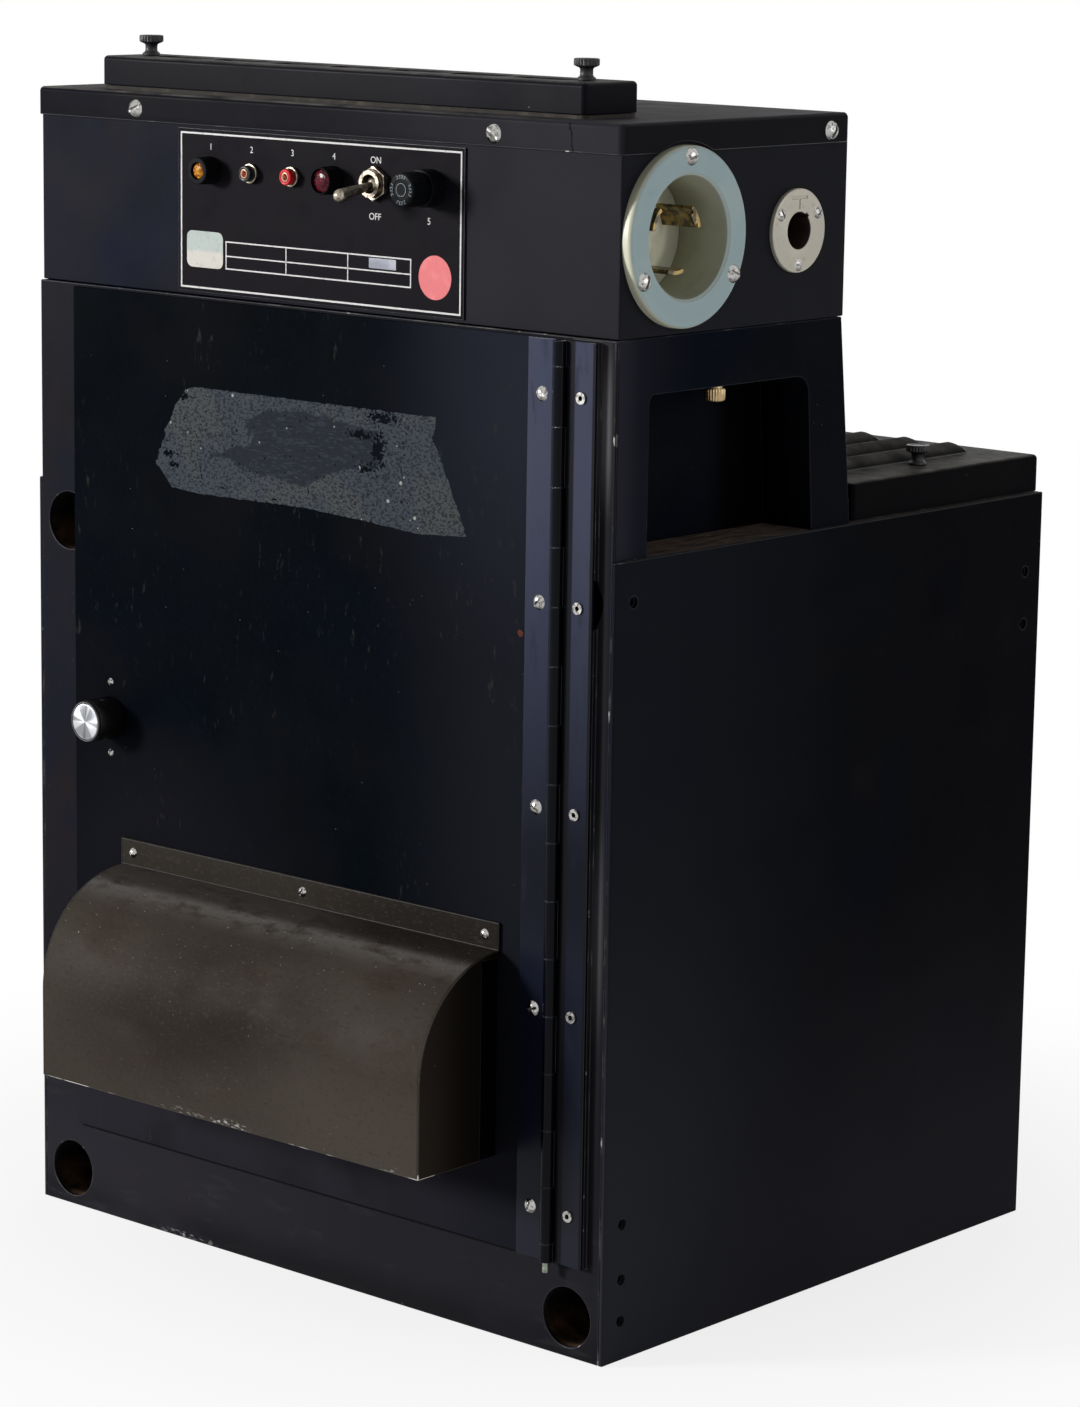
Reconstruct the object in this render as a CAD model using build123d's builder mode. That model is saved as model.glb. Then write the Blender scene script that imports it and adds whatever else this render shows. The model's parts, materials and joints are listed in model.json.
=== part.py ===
from build123d import *
import os
from math import cos, radians, sin, sqrt

# Effects projector: a lamp house with a hinged service door, a control head that stands
# on a neck with hand holds, a louvred rear cover and a square condenser at the back.
# Millimetres, +Z up. The origin is the centre of the underside, where the case rests.
# X runs along the front, -Y faces the operator and the light leaves at +Y.

# Sheet and gaps
sheet = 2.0
thin_sheet = 1.5
slip = 0.1
part_gap = 0.3
bearing_gap = 0.05

# Lower case
case_width = 356.0
case_depth = 309.0
case_height = 351.5
frame_return = 18.0
pan_lip = 14.0
panel_edge_round = 0.8

# Four rods that carry the optical stages run through the case in tubes, near its corners
rod_bore = 27.0
rod_tube_wall = 1.5
tube_side_gap = 1.4
tube_floor_gap = 0.9
tube_deck_gap = 1.6

# Holes in the side panels, from the front or back edge and from the foot or top edge
panel_hole = 5.0
panel_hole_inset = 12.2
panel_hole_steps = (17.8, 36.6, 61.5)

# Neck
neck_height = 92.7
neck_head_step = 0.9
neck_lean = 10.0

# Hand hold in each side of the neck
hold_front = 22.4
hold_rear_margin = 27.7
hold_taper = 5.0
hold_height = 68.5
hold_depth = 27.0
hold_front_round = 3.5
hold_rear_round = 8.0

# Brass thumb screw in the roof of the right hand hold
brass_head = 9.4
brass_head_height = 5.6
brass_chamfer = 0.8
brass_collar = 7.2
brass_collar_height = 2.6
brass_shank = 4.0
brass_reach = 8.0
brass_inset = 16.0
brass_from_front = 82.5

# Slots of the round-head screws, as shares of the width and the rise of each head
slot_share = 0.17
slot_depth_share = 0.6

# Control head
head_front_step = 1.9
head_depth = 151.6
head_height = 87.2
port_inset = 30.0
lid_flange = 12.8
lid_round = 3.0
lid_edge_round = 2.1
lid_notch_gap = 1.4
lid_screw_head = 8.5
lid_screw_rise = 2.6
lid_screw_shank = 4.0
lid_screw_left_inset = 66.1
lid_screw_right_inset = 71.9
lid_side_screw_inset = 13.8
lid_screw_drop = 7.4

# Vent cover on the lid
vent_side_inset = 31.0
vent_depth = 35.0
vent_height = 13.2
vent_front_inset = 11.6
vent_round = 2.5
vent_top_round = 2.0
vent_slot_width = 11.0
vent_slot_bridge = 3.3
vent_slot_count = 7
vent_screw_inset = 14.5
vent_screw_to_slot = 6.6
gasket = 1.5
gasket_inset = 0.5
gasket_band = 5.0

# Black thumb screws of the vent cover and the rear cover
thumb_disc = 11.0
thumb_disc_height = 3.0
thumb_waist = 5.6
thumb_foot = 8.4
thumb_foot_height = 1.6
thumb_flare = 1.2
thumb_height = 9.0
thumb_shank = 4.0
thumb_reach = 6.0

# Louvred rear cover
rear_cover_inset = 3.0
rear_cover_gap = 2.9
rear_cover_height = 17.1
rear_cover_round = 2.5
rear_cover_top_round = 2.0
louvre_count = 12
louvre_side_margin = 22.6
louvre_rise = 4.8
louvre_foot = 8.5
louvre_margin = 20.0
louvre_end = 7.0
louvre_sheet = 1.2

# Where the bow of a louvre's slope and of its ends is fullest, as shares of its foot and its rise
louvre_slope_bow = (0.62, 0.62)
louvre_end_bow = (0.3, 0.7)
rear_screw_inset = 17.7
rear_thumb_reach = 1.2

# Service door and its piano hinge
door_front_step = 2.5
door_side_inset = 27.0
door_foot = 42.5
door_top_gap = 1.2
door_lap = 11.0
door_lip = 10.0
hinge_inset = 28.2
hinge_leaf = 18.6
hinge_sheet = 1.5
hinge_barrel = 5.8
hinge_pin_width = 3.0
hinge_knuckle = 25.4
hinge_first_knuckle = 8.7
hinge_pin_overhang = 4.5
hinge_screw_first = 22.7
hinge_screw_last = 23.4
hinge_screw_count = 5
hinge_screw_inset = 7.8
hinge_screw_head = 6.6
hinge_screw_rise = 1.6
hinge_screw_shank = 3.2
rivet_inset = 7.4
rivet_head = 5.1
rivet_rise = 0.8
rivet_bore = 2.2
rivet_shank = 3.2

# Door latch
latch_from_edge = 24.0
latch_from_foot = 201.2
knob_width = 20.0
knob_length = 16.0
knob_rim = 1.4
knob_dish = 1.0
knob_draft = 1.5
latch_shaft = 6.0
latch_shaft_wall = 2.0
latch_screw_pitch = 33.6
latch_screw_head = 3.6
latch_screw_rise = 1.0
latch_screw_shank = 2.0
cam_length = 21.0
cam_width = 11.0

# Air hood on the door
hood_hinge_gap = 12.4
hood_from_foot = 40.5
hood_radius = 51.3
hood_skirt = 41.2
hood_flange = 12.4
hood_side_gap = 11.8
hood_screw_head = 4.8
hood_screw_rise = 1.4
hood_screw_shank = 2.5
hood_screw_inset = 8.3
collar_lap = 3.0
door_port_side = 12.8
door_port_foot = 14.0
door_port_top = 4.6

# Control panel and what it carries
panel_width = 174.2
panel_sheet = 1.0
panel_centre = 2.5
panel_foot = 1.6
panel_top_gap = 1.5
control_rise = 56.5
pilot_x = (-63.5, 12.7)
pilot_bezel = 12.5
pilot_bezel_height = 9.0
pilot_bezel_draft = 1.5
pilot_seat = 7.6
pilot_body = 10.0
pilot_reach = 20.0
amber_lens = 7.6
red_lens = 10.6
pilot_lens_height = 7.0
pilot_dome = 2.6
jack_x = (-38.1, -12.7)
jack_nut = 9.0
jack_nut_height = 1.8
jack_body = 7.2
jack_height = 5.0
jack_thread = 6.0
jack_bore = 4.1
jack_reach = 16.0
toggle_x = 38.1
toggle_thread = 11.8
toggle_bush_height = 5.0
toggle_nut_corners = 15.5
toggle_nut_height = 2.6
toggle_case = (26.0, 24.0, 32.0)
toggle_ball = 7.2
toggle_pivot_depth = 4.4
toggle_lever_length = 25.3
toggle_neck = 3.2
toggle_tip = 6.0
toggle_lean = 11.0
toggle_throat_draft = 4.0
fuse_x = 69.9
fuse_flange = 16.4
fuse_flange_height = 7.5
fuse_cap_width = 15.0
fuse_cap_height = 10.7
fuse_stem = 7.4
fuse_stem_length = 8.0
fuse_thread = 12.6
fuse_cap_chamfer = 0.8
fuse_width = 6.4
fuse_length = 31.8
fuse_end_room = 7.2

# Power inlet on the right of the head
inlet_front_gap = 0.65
inlet_foot_gap = 2.45
inlet_width = 76.5
inlet_mouth = 52.0
inlet_thickness = 5.0
inlet_depth = 30.0
inlet_wall = 1.6
inlet_round = 2.2
inlet_chamfer = 1.2
inlet_screw_margin = 4.5
inlet_screw_head = 7.9
inlet_screw_rise = 2.4
inlet_screw_shank = 4.0
insert_height = 6.0
insert_boss = 3.0
first_blade = 30.0
blade_circle = 29.0
blade_thickness = 1.7
blade_span = 38.0
blade_length = 20.0
blade_hook = 4.0

# Signal socket behind it
socket_from_inlet = 77.3
socket_rise = 39.3
socket_width = 36.3
socket_thickness = 2.2
socket_bore = 16.2
socket_round = 0.7
socket_depth = 24.0
socket_key = (2.0, 2.4)
socket_key_turn = 50.0
socket_groove_width = 1.2
socket_groove_depth = 0.8
socket_groove_drop = 14.2
socket_groove_length = 11.3
socket_screw_margin = 3.55
socket_screw_head = 5.6
socket_screw_rise = 1.4
socket_screw_shank = 2.6

# Condenser at the back
aperture_rod_gap = 17.0
lens_margin = 5.0
lens_thickness = 3.0
lens_ring_count = 9
lens_groove = 1.4
lens_frame_width = 13.0
lens_frame_depth = 12.0
lens_frame_tube_gap = 1.0

# Lamp, reflector and their bracket
lamp_from_front = 94.5
bulb_width = 32.0
bulb_height = 88.0
bulb_neck = 20.0
bulb_neck_height = 10.0
bulb_crown = 10.7
filament_height = 39.6
bulb_base = (38.0, 22.0, 22.0)
bulb_base_round = 3.0
lamp_pin = 4.0
lamp_pin_length = 12.0
lamp_pin_pitch = 16.0
lamp_socket_size = (46.0, 32.0, 26.0)
lamp_socket_round = 4.0
lamp_pin_room = 2.0
bracket_width = 60.0
bracket_depth = 42.0
bracket_foot = 15.0
mirror_radius = 62.0
mirror_half_angle = 55.0
mirror_sheet = 1.5
mirror_stud = 6.0
mirror_stud_end = 4.0
mirror_arm = 22.0
mirror_arm_gap = 3.0

# Blower
blower_from_side = 42.0
blower_width = 52.0
blower_from_front = 84.5
blower_ground_gap = 12.0
blower_foot_length = 60.0
blower_foot_lap = 8.0
volute_radius = 66.0
volute_step = 4.0
volute_outlet = 62.0
volute_intake = 64.0
volute_lip_angle = 45.0
wheel_radius = 42.0
wheel_gap = 3.0
wheel_blades = 24
wheel_blade_depth = 8.0
wheel_blade_thickness = 1.2
wheel_blade_turn = 35.0
wheel_hub_length = 14.0
blower_shaft = 6.0
shaft_hole_wall = 2.0
motor_width = 62.0
motor_length = 35.0
motor_chamfer = 5.0

# Heights and depths that follow
case_front = -case_depth / 2
case_back = case_depth / 2
case_side = case_width / 2
frame_side = case_side - sheet - slip
frame_inner = case_front + sheet
rear_inner = case_back - sheet
deck_foot = case_height - sheet
door_back = case_front - door_front_step + sheet
door_front = case_front - door_front_step
hinge_x = case_side - hinge_inset
hinge_y = door_front - hinge_barrel / 2
neck_top = case_height + neck_height
door_left = door_side_inset - case_side
door_top = neck_top - door_top_gap
door_height = door_top - door_foot
head_foot = neck_top + part_gap
head_top = head_foot + head_height
head_front = case_front + head_front_step
head_back = head_front + head_depth
head_side = frame_side
lid_top = head_top + thin_sheet + slip
lid_foot = lid_top - lid_flange
lid_side = head_side + thin_sheet + slip
lid_front = head_front - thin_sheet - slip
panel_front = head_front - panel_sheet
control_row = head_foot + control_rise
tube_radius = rod_bore / 2 + rod_tube_wall
rod_x = frame_side - sheet - tube_side_gap - tube_radius
rod_low = sheet + tube_floor_gap + tube_radius
rod_high = deck_foot - tube_deck_gap - tube_radius
rod_points = [(x, z) for z in (rod_low, rod_high) for x in (-rod_x, rod_x)]
axis_height = (rod_low + rod_high) / 2
aperture = min(2 * rod_x, rod_high - rod_low) - rod_bore - 2 * aperture_rod_gap


def facing_front(y):
    """Plane at depth y that faces the operator; its axes read X and Z."""
    return Plane(origin=(0, y, 0), x_dir=(1, 0, 0), z_dir=(0, -1, 0))


def facing_right(x):
    """Plane at x that faces right; its axes read Y and Z."""
    return Plane(origin=(x, 0, 0), x_dir=(0, 1, 0), z_dir=(1, 0, 0))


def level(z):
    """Level plane at height z; its axes read X and Y."""
    return Plane.XY.offset(z)


def on_front(x, y, z):
    """Place on a front face, with the local Z axis coming out of it."""
    return facing_front(y).shift_origin((x, y, z))


def on_right(x, y, z):
    """Place on a right-hand face, with the local Z axis coming out of it."""
    return facing_right(x).shift_origin((x, y, z))


def round_screw(head, rise, shank, reach):
    """Slotted round-head screw that stands on the level plane, with its shank below."""
    with BuildPart() as screw:
        with BuildSketch(Plane.XZ):
            with BuildLine():
                Line((0, -reach), (shank / 2, -reach))
                Line((shank / 2, -reach), (shank / 2, 0))
                Line((shank / 2, 0), (head / 2, 0))
                TangentArc((0, rise), (head / 2, 0), tangent=(1, 0))
                Line((0, rise), (0, -reach))
            make_face()
        revolve(axis=Axis.Z)
        with BuildSketch(level(rise)):
            Rectangle(head, head * slot_share)
        extrude(amount=-rise * slot_depth_share, mode=Mode.SUBTRACT)
    return screw.part


def turned(places, turns):
    """The same places, each turned about its own outward axis."""
    return [place.location * Rotation(0, 0, turn) for place, turn in zip(places, turns)]


def thumb_screw(reach):
    """Knurled spool-shaped thumb screw that stands on the level plane."""
    disc_foot = thumb_height - thumb_disc_height
    with BuildPart() as screw:
        with BuildSketch(Plane.XZ):
            with BuildLine():
                Line((0, -reach), (thumb_shank / 2, -reach))
                Line((thumb_shank / 2, -reach), (thumb_shank / 2, 0))
                Line((thumb_shank / 2, 0), (thumb_foot / 2, 0))
                Line((thumb_foot / 2, 0), (thumb_waist / 2, thumb_foot_height))
                Line((thumb_waist / 2, thumb_foot_height), (thumb_waist / 2, disc_foot - thumb_flare))
                Line((thumb_waist / 2, disc_foot - thumb_flare), (thumb_disc / 2, disc_foot))
                Line((thumb_disc / 2, disc_foot), (thumb_disc / 2, thumb_height))
                Line((thumb_disc / 2, thumb_height), (0, thumb_height))
                Line((0, thumb_height), (0, -reach))
            make_face()
        revolve(axis=Axis.Z)
    return screw.part


def ring_places(centre_y, centre_z, x, circle, first_angle):
    """Three places on a circle on a right-hand face; angles run from +Y towards +Z."""
    turns = [radians(first_angle + 120 * i) for i in range(3)]
    return [on_right(x, centre_y + circle / 2 * cos(a), centre_z + circle / 2 * sin(a)) for a in turns]


os.makedirs("parts", exist_ok=True)


def save(piece, name):
    """Label a finished piece and write it under its own name."""
    piece.part.label = name
    export_step(piece.part, f"parts/{name}.step")


# Front frame: one sheet with the door opening and the rod holes, returned at both sides.
# The strip at the right packs the fixed hinge leaf out to the face of the door.
opening_left = door_left + door_lap
opening_right = -opening_left
opening_foot = door_foot + door_lap
opening_top = door_top - door_lap
front_hole_y = case_front + panel_hole_inset
rear_hole_y = case_back - panel_hole_inset
front_hole_heights = [*panel_hole_steps, case_height - panel_hole_steps[0]]
rear_hole_heights = [case_height - step for step in panel_hole_steps[1:]]
packer_left = hinge_x + hinge_barrel / 2 + part_gap
packer_right = hinge_x + hinge_leaf

with BuildPart() as front_frame:
    with BuildSketch(facing_front(case_front)):
        with Locations((0, neck_top / 2)):
            Rectangle(2 * frame_side, neck_top)
        with Locations(((opening_left + opening_right) / 2, (opening_foot + opening_top) / 2)):
            Rectangle(opening_right - opening_left, opening_top - opening_foot, mode=Mode.SUBTRACT)
        with Locations(*rod_points):
            Circle(rod_bore / 2, mode=Mode.SUBTRACT)
    extrude(amount=-sheet)
    with BuildSketch(facing_front(frame_inner)):
        with Locations((frame_side - sheet / 2, deck_foot / 2), (sheet / 2 - frame_side, deck_foot / 2)):
            Rectangle(sheet, deck_foot - slip)
    extrude(amount=-frame_return)
    with BuildSketch(facing_front(case_front)):
        with Locations(((packer_left + packer_right) / 2, door_foot + door_height / 2)):
            Rectangle(packer_right - packer_left, door_height)
        with Locations(*rod_points):
            Circle(tube_radius, mode=Mode.SUBTRACT)
    extrude(amount=door_front_step)
    with Locations(*[on_right(frame_side, front_hole_y, z) for z in front_hole_heights]):
        Hole(panel_hole / 2, 2 * frame_side)
save(front_frame, "front_frame")

# Base pan: the floor of the case, with a lip all round
with BuildPart() as base_pan:
    with BuildSketch(level(0)):
        Rectangle(2 * frame_side - 2 * sheet - 2 * slip, case_depth - 2 * sheet - 2 * slip)
    extrude(amount=sheet + pan_lip)
    with BuildSketch(level(sheet)):
        Rectangle(2 * frame_side - 4 * sheet - 2 * slip, case_depth - 4 * sheet - 2 * slip)
    extrude(amount=pan_lip, mode=Mode.SUBTRACT)
    with Locations(*[on_front(x, frame_inner, z) for x, z in rod_points[:2]]):
        Hole(tube_radius + slip, case_depth)
save(base_pan, "base_pan")

# Side panels
with BuildPart() as right_side_panel:
    with BuildSketch(facing_right(case_side)):
        with Locations((0, case_height / 2)):
            Rectangle(case_depth, case_height)
    extrude(amount=-sheet)
    outer_face = right_side_panel.faces().sort_by(Axis.X)[-1]
    fillet(outer_face.edges().filter_by(Axis.Z), panel_edge_round)
    with Locations(
        *[on_right(case_side, front_hole_y, z) for z in front_hole_heights],
        *[on_right(case_side, rear_hole_y, z) for z in rear_hole_heights],
    ):
        Hole(panel_hole / 2, sheet)
save(right_side_panel, "right_side_panel")

with BuildPart() as left_side_panel:
    mirror(right_side_panel.part, about=Plane.YZ)
save(left_side_panel, "left_side_panel")

# Rear panel: the light leaves through its square aperture, among the four rod holes
with BuildPart() as rear_panel:
    with BuildSketch(facing_front(rear_inner)):
        with Locations((0, case_height / 2)):
            Rectangle(2 * frame_side, case_height)
        with Locations((0, axis_height)):
            Rectangle(aperture, aperture, mode=Mode.SUBTRACT)
        with Locations(*rod_points):
            Circle(rod_bore / 2, mode=Mode.SUBTRACT)
    extrude(amount=-sheet)
    with BuildSketch(facing_front(rear_inner)):
        with Locations((frame_side - sheet / 2, deck_foot / 2), (sheet / 2 - frame_side, deck_foot / 2)):
            Rectangle(sheet, deck_foot - slip)
    extrude(amount=frame_return)
    with Locations(*[on_right(frame_side, rear_hole_y, z) for z in rear_hole_heights]):
        Hole(panel_hole / 2, 2 * frame_side)
save(rear_panel, "rear_panel")

# Rod tubes, butted between the front frame and the rear panel
with BuildPart() as rod_tubes:
    with BuildSketch(facing_front(frame_inner)):
        with Locations(*rod_points):
            Circle(tube_radius)
            Circle(rod_bore / 2, mode=Mode.SUBTRACT)
    extrude(amount=frame_inner - rear_inner)
save(rod_tubes, "rod_tubes")

# Deck: closes the case below the neck and the rear cover, with an air way under each
neck_front = frame_inner
neck_top_back = head_back - neck_head_step
neck_foot_back = neck_top_back + neck_lean
hold_inner_x = frame_side - hold_depth
rear_cover_width = 2 * (case_side - rear_cover_inset)
rear_cover_y = neck_foot_back + rear_cover_gap
rear_cover_depth = case_back - rear_cover_y
louvre_y = rear_cover_y + rear_cover_depth / 2
rear_screw_x = rear_cover_width / 2 - rear_screw_inset
deck_port_width = 2 * (hold_inner_x - port_inset)
deck_port_front = case_front + frame_return
deck_port_back = neck_foot_back - frame_return
louvre_length = rear_cover_depth - 2 * louvre_margin
rear_port_width = rear_cover_width - 2 * louvre_side_margin
louvre_pitch = rear_port_width / louvre_count

with BuildPart() as deck_plate:
    with BuildSketch(level(deck_foot)):
        Rectangle(2 * frame_side, case_depth - 2 * sheet - 2 * slip)
        with Locations((0, frame_inner)):
            Rectangle(opening_right - opening_left, 2 * door_lip, mode=Mode.SUBTRACT)
        with Locations((0, (deck_port_front + deck_port_back) / 2)):
            Rectangle(deck_port_width, deck_port_back - deck_port_front, mode=Mode.SUBTRACT)
        with Locations((0, louvre_y)):
            Rectangle(rear_port_width, louvre_length, mode=Mode.SUBTRACT)
        with Locations((rear_screw_x, louvre_y), (-rear_screw_x, louvre_y)):
            Circle(thumb_shank / 2 + bearing_gap, mode=Mode.SUBTRACT)
    extrude(amount=sheet)
save(deck_plate, "deck_plate")

# Neck: a shell whose back leans forward as it rises, with a hand hold let into each side
hold_y = case_front + hold_front
hold_top = case_height + hold_height
brass_x = case_side - brass_inset
brass_y = case_front + brass_from_front


def neck_section(z, back, wall):
    """Level outline of the neck, with its walls taken off where wall isn't zero."""
    with BuildSketch(level(z)) as outline:
        with Locations((0, (neck_front + back - wall) / 2)):
            Rectangle(2 * (frame_side - wall), back - wall - neck_front)
    return outline.sketch


def hold_outline(x, margin):
    """Outline of the hand hold on the side, grown by margin all round."""
    with BuildSketch(facing_right(x)) as outline:
        with BuildLine():
            foot = case_height
            top = hold_top + margin
            front = hold_y - margin
            foot_end = neck_foot_back - hold_rear_margin + margin
            top_end = foot_end - hold_taper
            FilletPolyline(
                (front, foot),
                (front, top),
                (top_end, top),
                (foot_end, foot),
                radius=[hold_front_round + margin, hold_rear_round + margin],
            )
            Line((foot_end, foot), (front, foot))
        make_face()
    return outline.sketch


with BuildPart() as neck_shell:
    loft([neck_section(case_height, neck_foot_back, 0), neck_section(neck_top, neck_top_back, 0)])
    loft(
        [neck_section(case_height, neck_foot_back, sheet), neck_section(neck_top, neck_top_back, sheet)],
        mode=Mode.SUBTRACT,
    )
    for side in (-1, 1):
        wall_x = side * (frame_side - sheet / 2)
        pocket = hold_outline(wall_x + side * sheet, 0)
        depth = -side * (hold_depth + sheet / 2)
        extrude(hold_outline(wall_x, sheet), amount=depth)
        extrude(pocket, amount=depth, mode=Mode.SUBTRACT)
    with Locations((brass_x, brass_y, hold_top + sheet)):
        Hole(brass_shank / 2 + bearing_gap, 2 * sheet)
save(neck_shell, "neck_shell")

# Brass thumb screw that hangs from the roof of the right hand hold
with BuildPart() as brass_screw:
    with BuildSketch(Plane.XZ.offset(-brass_y)):
        with BuildLine():
            roof = hold_top - part_gap
            collar_foot = roof - brass_collar_height
            head_low = collar_foot - brass_head_height
            Polyline(
                (brass_x, hold_top + sheet + brass_reach),
                (brass_x + brass_shank / 2, hold_top + sheet + brass_reach),
                (brass_x + brass_shank / 2, roof),
                (brass_x + brass_collar / 2, roof),
                (brass_x + brass_collar / 2, collar_foot),
                (brass_x + brass_head / 2, collar_foot),
                (brass_x + brass_head / 2, head_low + brass_chamfer),
                (brass_x + brass_head / 2 - brass_chamfer, head_low),
                (brass_x, head_low),
                close=True,
            )
        make_face()
    revolve(axis=Axis((brass_x, brass_y, 0), (0, 0, 1)))
save(brass_screw, "brass_screw")

# Head case: a folded box with an open top and an air way through its floor
inlet_y = head_front + inlet_front_gap + inlet_width / 2
inlet_height = head_foot + inlet_foot_gap + inlet_width / 2
inlet_screw_circle = inlet_width - 2 * inlet_screw_margin
socket_y = inlet_y + socket_from_inlet
socket_height = head_foot + socket_rise
socket_screw_circle = socket_width - 2 * socket_screw_margin
inlet_cup = inlet_mouth / 2 + inlet_wall
inlet_places = ring_places(inlet_y, inlet_height, head_side, inlet_screw_circle, 90)
socket_places = ring_places(socket_y, socket_height, head_side, socket_screw_circle, -90)
lid_screw_z = lid_top - lid_screw_drop
lid_side_screw_y = head_back - lid_side_screw_inset
lid_screw_x = (lid_screw_left_inset - case_side, case_side - lid_screw_right_inset)
lid_front_screws = [on_front(x, lid_front, lid_screw_z) for x in lid_screw_x]
lid_side_screws = [
    on_right(lid_side, lid_side_screw_y, lid_screw_z),
    Plane(origin=(-lid_side, lid_side_screw_y, lid_screw_z), x_dir=(0, -1, 0), z_dir=(-1, 0, 0)),
]


def control_holes(y):
    """Holes for the lights, jacks, switch and fuse holder, on a plane that faces the operator."""
    with BuildSketch(facing_front(y)) as holes:
        with Locations(*[(x, control_row) for x in pilot_x]):
            Circle(pilot_body / 2 + slip)
        with Locations(*[(x, control_row) for x in jack_x]):
            Circle(jack_thread / 2 + slip)
        with Locations((toggle_x, control_row)):
            Circle(toggle_thread / 2 + slip)
        with Locations((fuse_x, control_row)):
            Circle(fuse_thread / 2 + slip)
    return holes.sketch


with BuildPart() as head_case:
    with BuildSketch(level(head_foot)):
        with Locations((0, (head_front + head_back) / 2)):
            Rectangle(2 * head_side, head_depth)
    extrude(amount=head_height)
    with BuildSketch(level(head_foot + sheet)):
        with Locations((0, (head_front + head_back) / 2)):
            Rectangle(2 * (head_side - sheet), head_depth - 2 * sheet)
    extrude(amount=head_height, mode=Mode.SUBTRACT)
    with BuildSketch(level(head_foot)):
        with Locations((0, (deck_port_front + deck_port_back) / 2)):
            Rectangle(deck_port_width, deck_port_back - deck_port_front)
    extrude(amount=sheet, mode=Mode.SUBTRACT)
    extrude(control_holes(head_front), amount=-sheet, mode=Mode.SUBTRACT)
    with Locations(on_right(head_side, inlet_y, inlet_height)):
        Hole(inlet_cup + slip, sheet)
    with Locations(on_right(head_side, socket_y, socket_height)):
        Hole(socket_bore / 2 + inlet_wall + slip, sheet)
    with Locations(*inlet_places):
        Hole(inlet_screw_shank / 2 + slip, sheet)
    with Locations(*socket_places):
        Hole(socket_screw_shank / 2 + slip, sheet)
    with Locations(*lid_front_screws, *lid_side_screws):
        Hole(lid_screw_shank / 2 + slip, 4 * sheet)
save(head_case, "head_case")

# Lid: a cap with a flange at the front and sides, cut away over the power inlet
lid_back = head_back - sheet - part_gap
vent_y = head_front + vent_front_inset + vent_depth / 2 - thin_sheet
vent_width = 2 * (lid_side - vent_side_inset)
vent_screw_x = vent_width / 2 - vent_screw_inset
vent_span = 2 * (vent_screw_x - vent_screw_to_slot)
vent_slot_pitch = (vent_span + vent_slot_bridge) / vent_slot_count
vent_slot_length = vent_slot_pitch - vent_slot_bridge
vent_port_depth = vent_depth - 2 * gasket_band

with BuildPart() as head_lid:
    with BuildSketch(level(lid_foot)):
        with Locations((0, (lid_front + lid_back) / 2)):
            Rectangle(2 * lid_side, lid_back - lid_front)
    extrude(amount=lid_flange)
    front_corners = head_lid.edges().filter_by(Axis.Z).group_by(Axis.Y)[0]
    fillet(front_corners, lid_round)
    top_edges = head_lid.faces().sort_by(Axis.Z)[-1].edges().filter_by(
        lambda e: e.center().Y < lid_back - slip
    )
    fillet(top_edges, lid_edge_round)
    with BuildSketch(level(lid_foot)):
        with Locations((0, (head_front + head_back) / 2 - slip / 2)):
            Rectangle(2 * (head_side + slip), head_depth + slip)
    extrude(amount=lid_flange - thin_sheet, mode=Mode.SUBTRACT)
    with BuildSketch(level(lid_top)):
        with Locations((0, vent_y)):
            Rectangle(vent_span, vent_port_depth)
        with Locations((vent_screw_x, vent_y), (-vent_screw_x, vent_y)):
            Circle(thumb_shank / 2 + bearing_gap)
    extrude(amount=-2 * thin_sheet, mode=Mode.SUBTRACT)
    with Locations(on_right(lid_side, inlet_y, inlet_height)):
        Hole(inlet_width / 2 + lid_notch_gap, lid_side / 2)
    with Locations(*lid_front_screws, *lid_side_screws):
        Hole(lid_screw_shank / 2 + slip, 2 * sheet)
save(head_lid, "head_lid")

lid_screw = round_screw(lid_screw_head, lid_screw_rise, lid_screw_shank, 3 * sheet)
with BuildPart() as lid_screws:
    with Locations(*turned([*lid_front_screws, *lid_side_screws], (24, -38, 65, 10))):
        add(lid_screw)
save(lid_screws, "lid_screws")

# Gasket and vent cover, held by two thumb screws
vent_foot = lid_top + gasket + part_gap
vent_top = vent_foot + vent_height

with BuildPart() as vent_gasket:
    with BuildSketch(level(lid_top)):
        with Locations((0, vent_y)):
            RectangleRounded(vent_width - 2 * gasket_inset, vent_depth - 2 * gasket_inset, vent_round)
            RectangleRounded(vent_span, vent_port_depth, vent_round, mode=Mode.SUBTRACT)
        with Locations((vent_screw_x, vent_y), (-vent_screw_x, vent_y)):
            Circle(thumb_foot / 2, mode=Mode.SUBTRACT)
    extrude(amount=gasket)
save(vent_gasket, "vent_gasket")

with BuildPart() as vent_cover:
    with BuildSketch(level(vent_foot)):
        with Locations((0, vent_y)):
            Rectangle(vent_width, vent_depth)
    extrude(amount=vent_height)
    fillet(vent_cover.edges().filter_by(Axis.Z), vent_round)
    fillet(vent_cover.faces().sort_by(Axis.Z)[-1].edges(), vent_top_round)
    with BuildSketch(level(vent_foot)):
        with Locations((0, vent_y)):
            Rectangle(vent_width - 2 * thin_sheet, vent_depth - 2 * thin_sheet)
    extrude(amount=vent_height - thin_sheet, mode=Mode.SUBTRACT)
    with BuildSketch(level(vent_top)):
        with Locations((0, vent_y)):
            with GridLocations(vent_slot_pitch, 1, vent_slot_count, 1):
                SlotOverall(vent_slot_length, vent_slot_width)
        with Locations((vent_screw_x, vent_y), (-vent_screw_x, vent_y)):
            Circle(thumb_shank / 2 + bearing_gap)
    extrude(amount=-2 * thin_sheet, mode=Mode.SUBTRACT)
save(vent_cover, "vent_cover")

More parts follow.
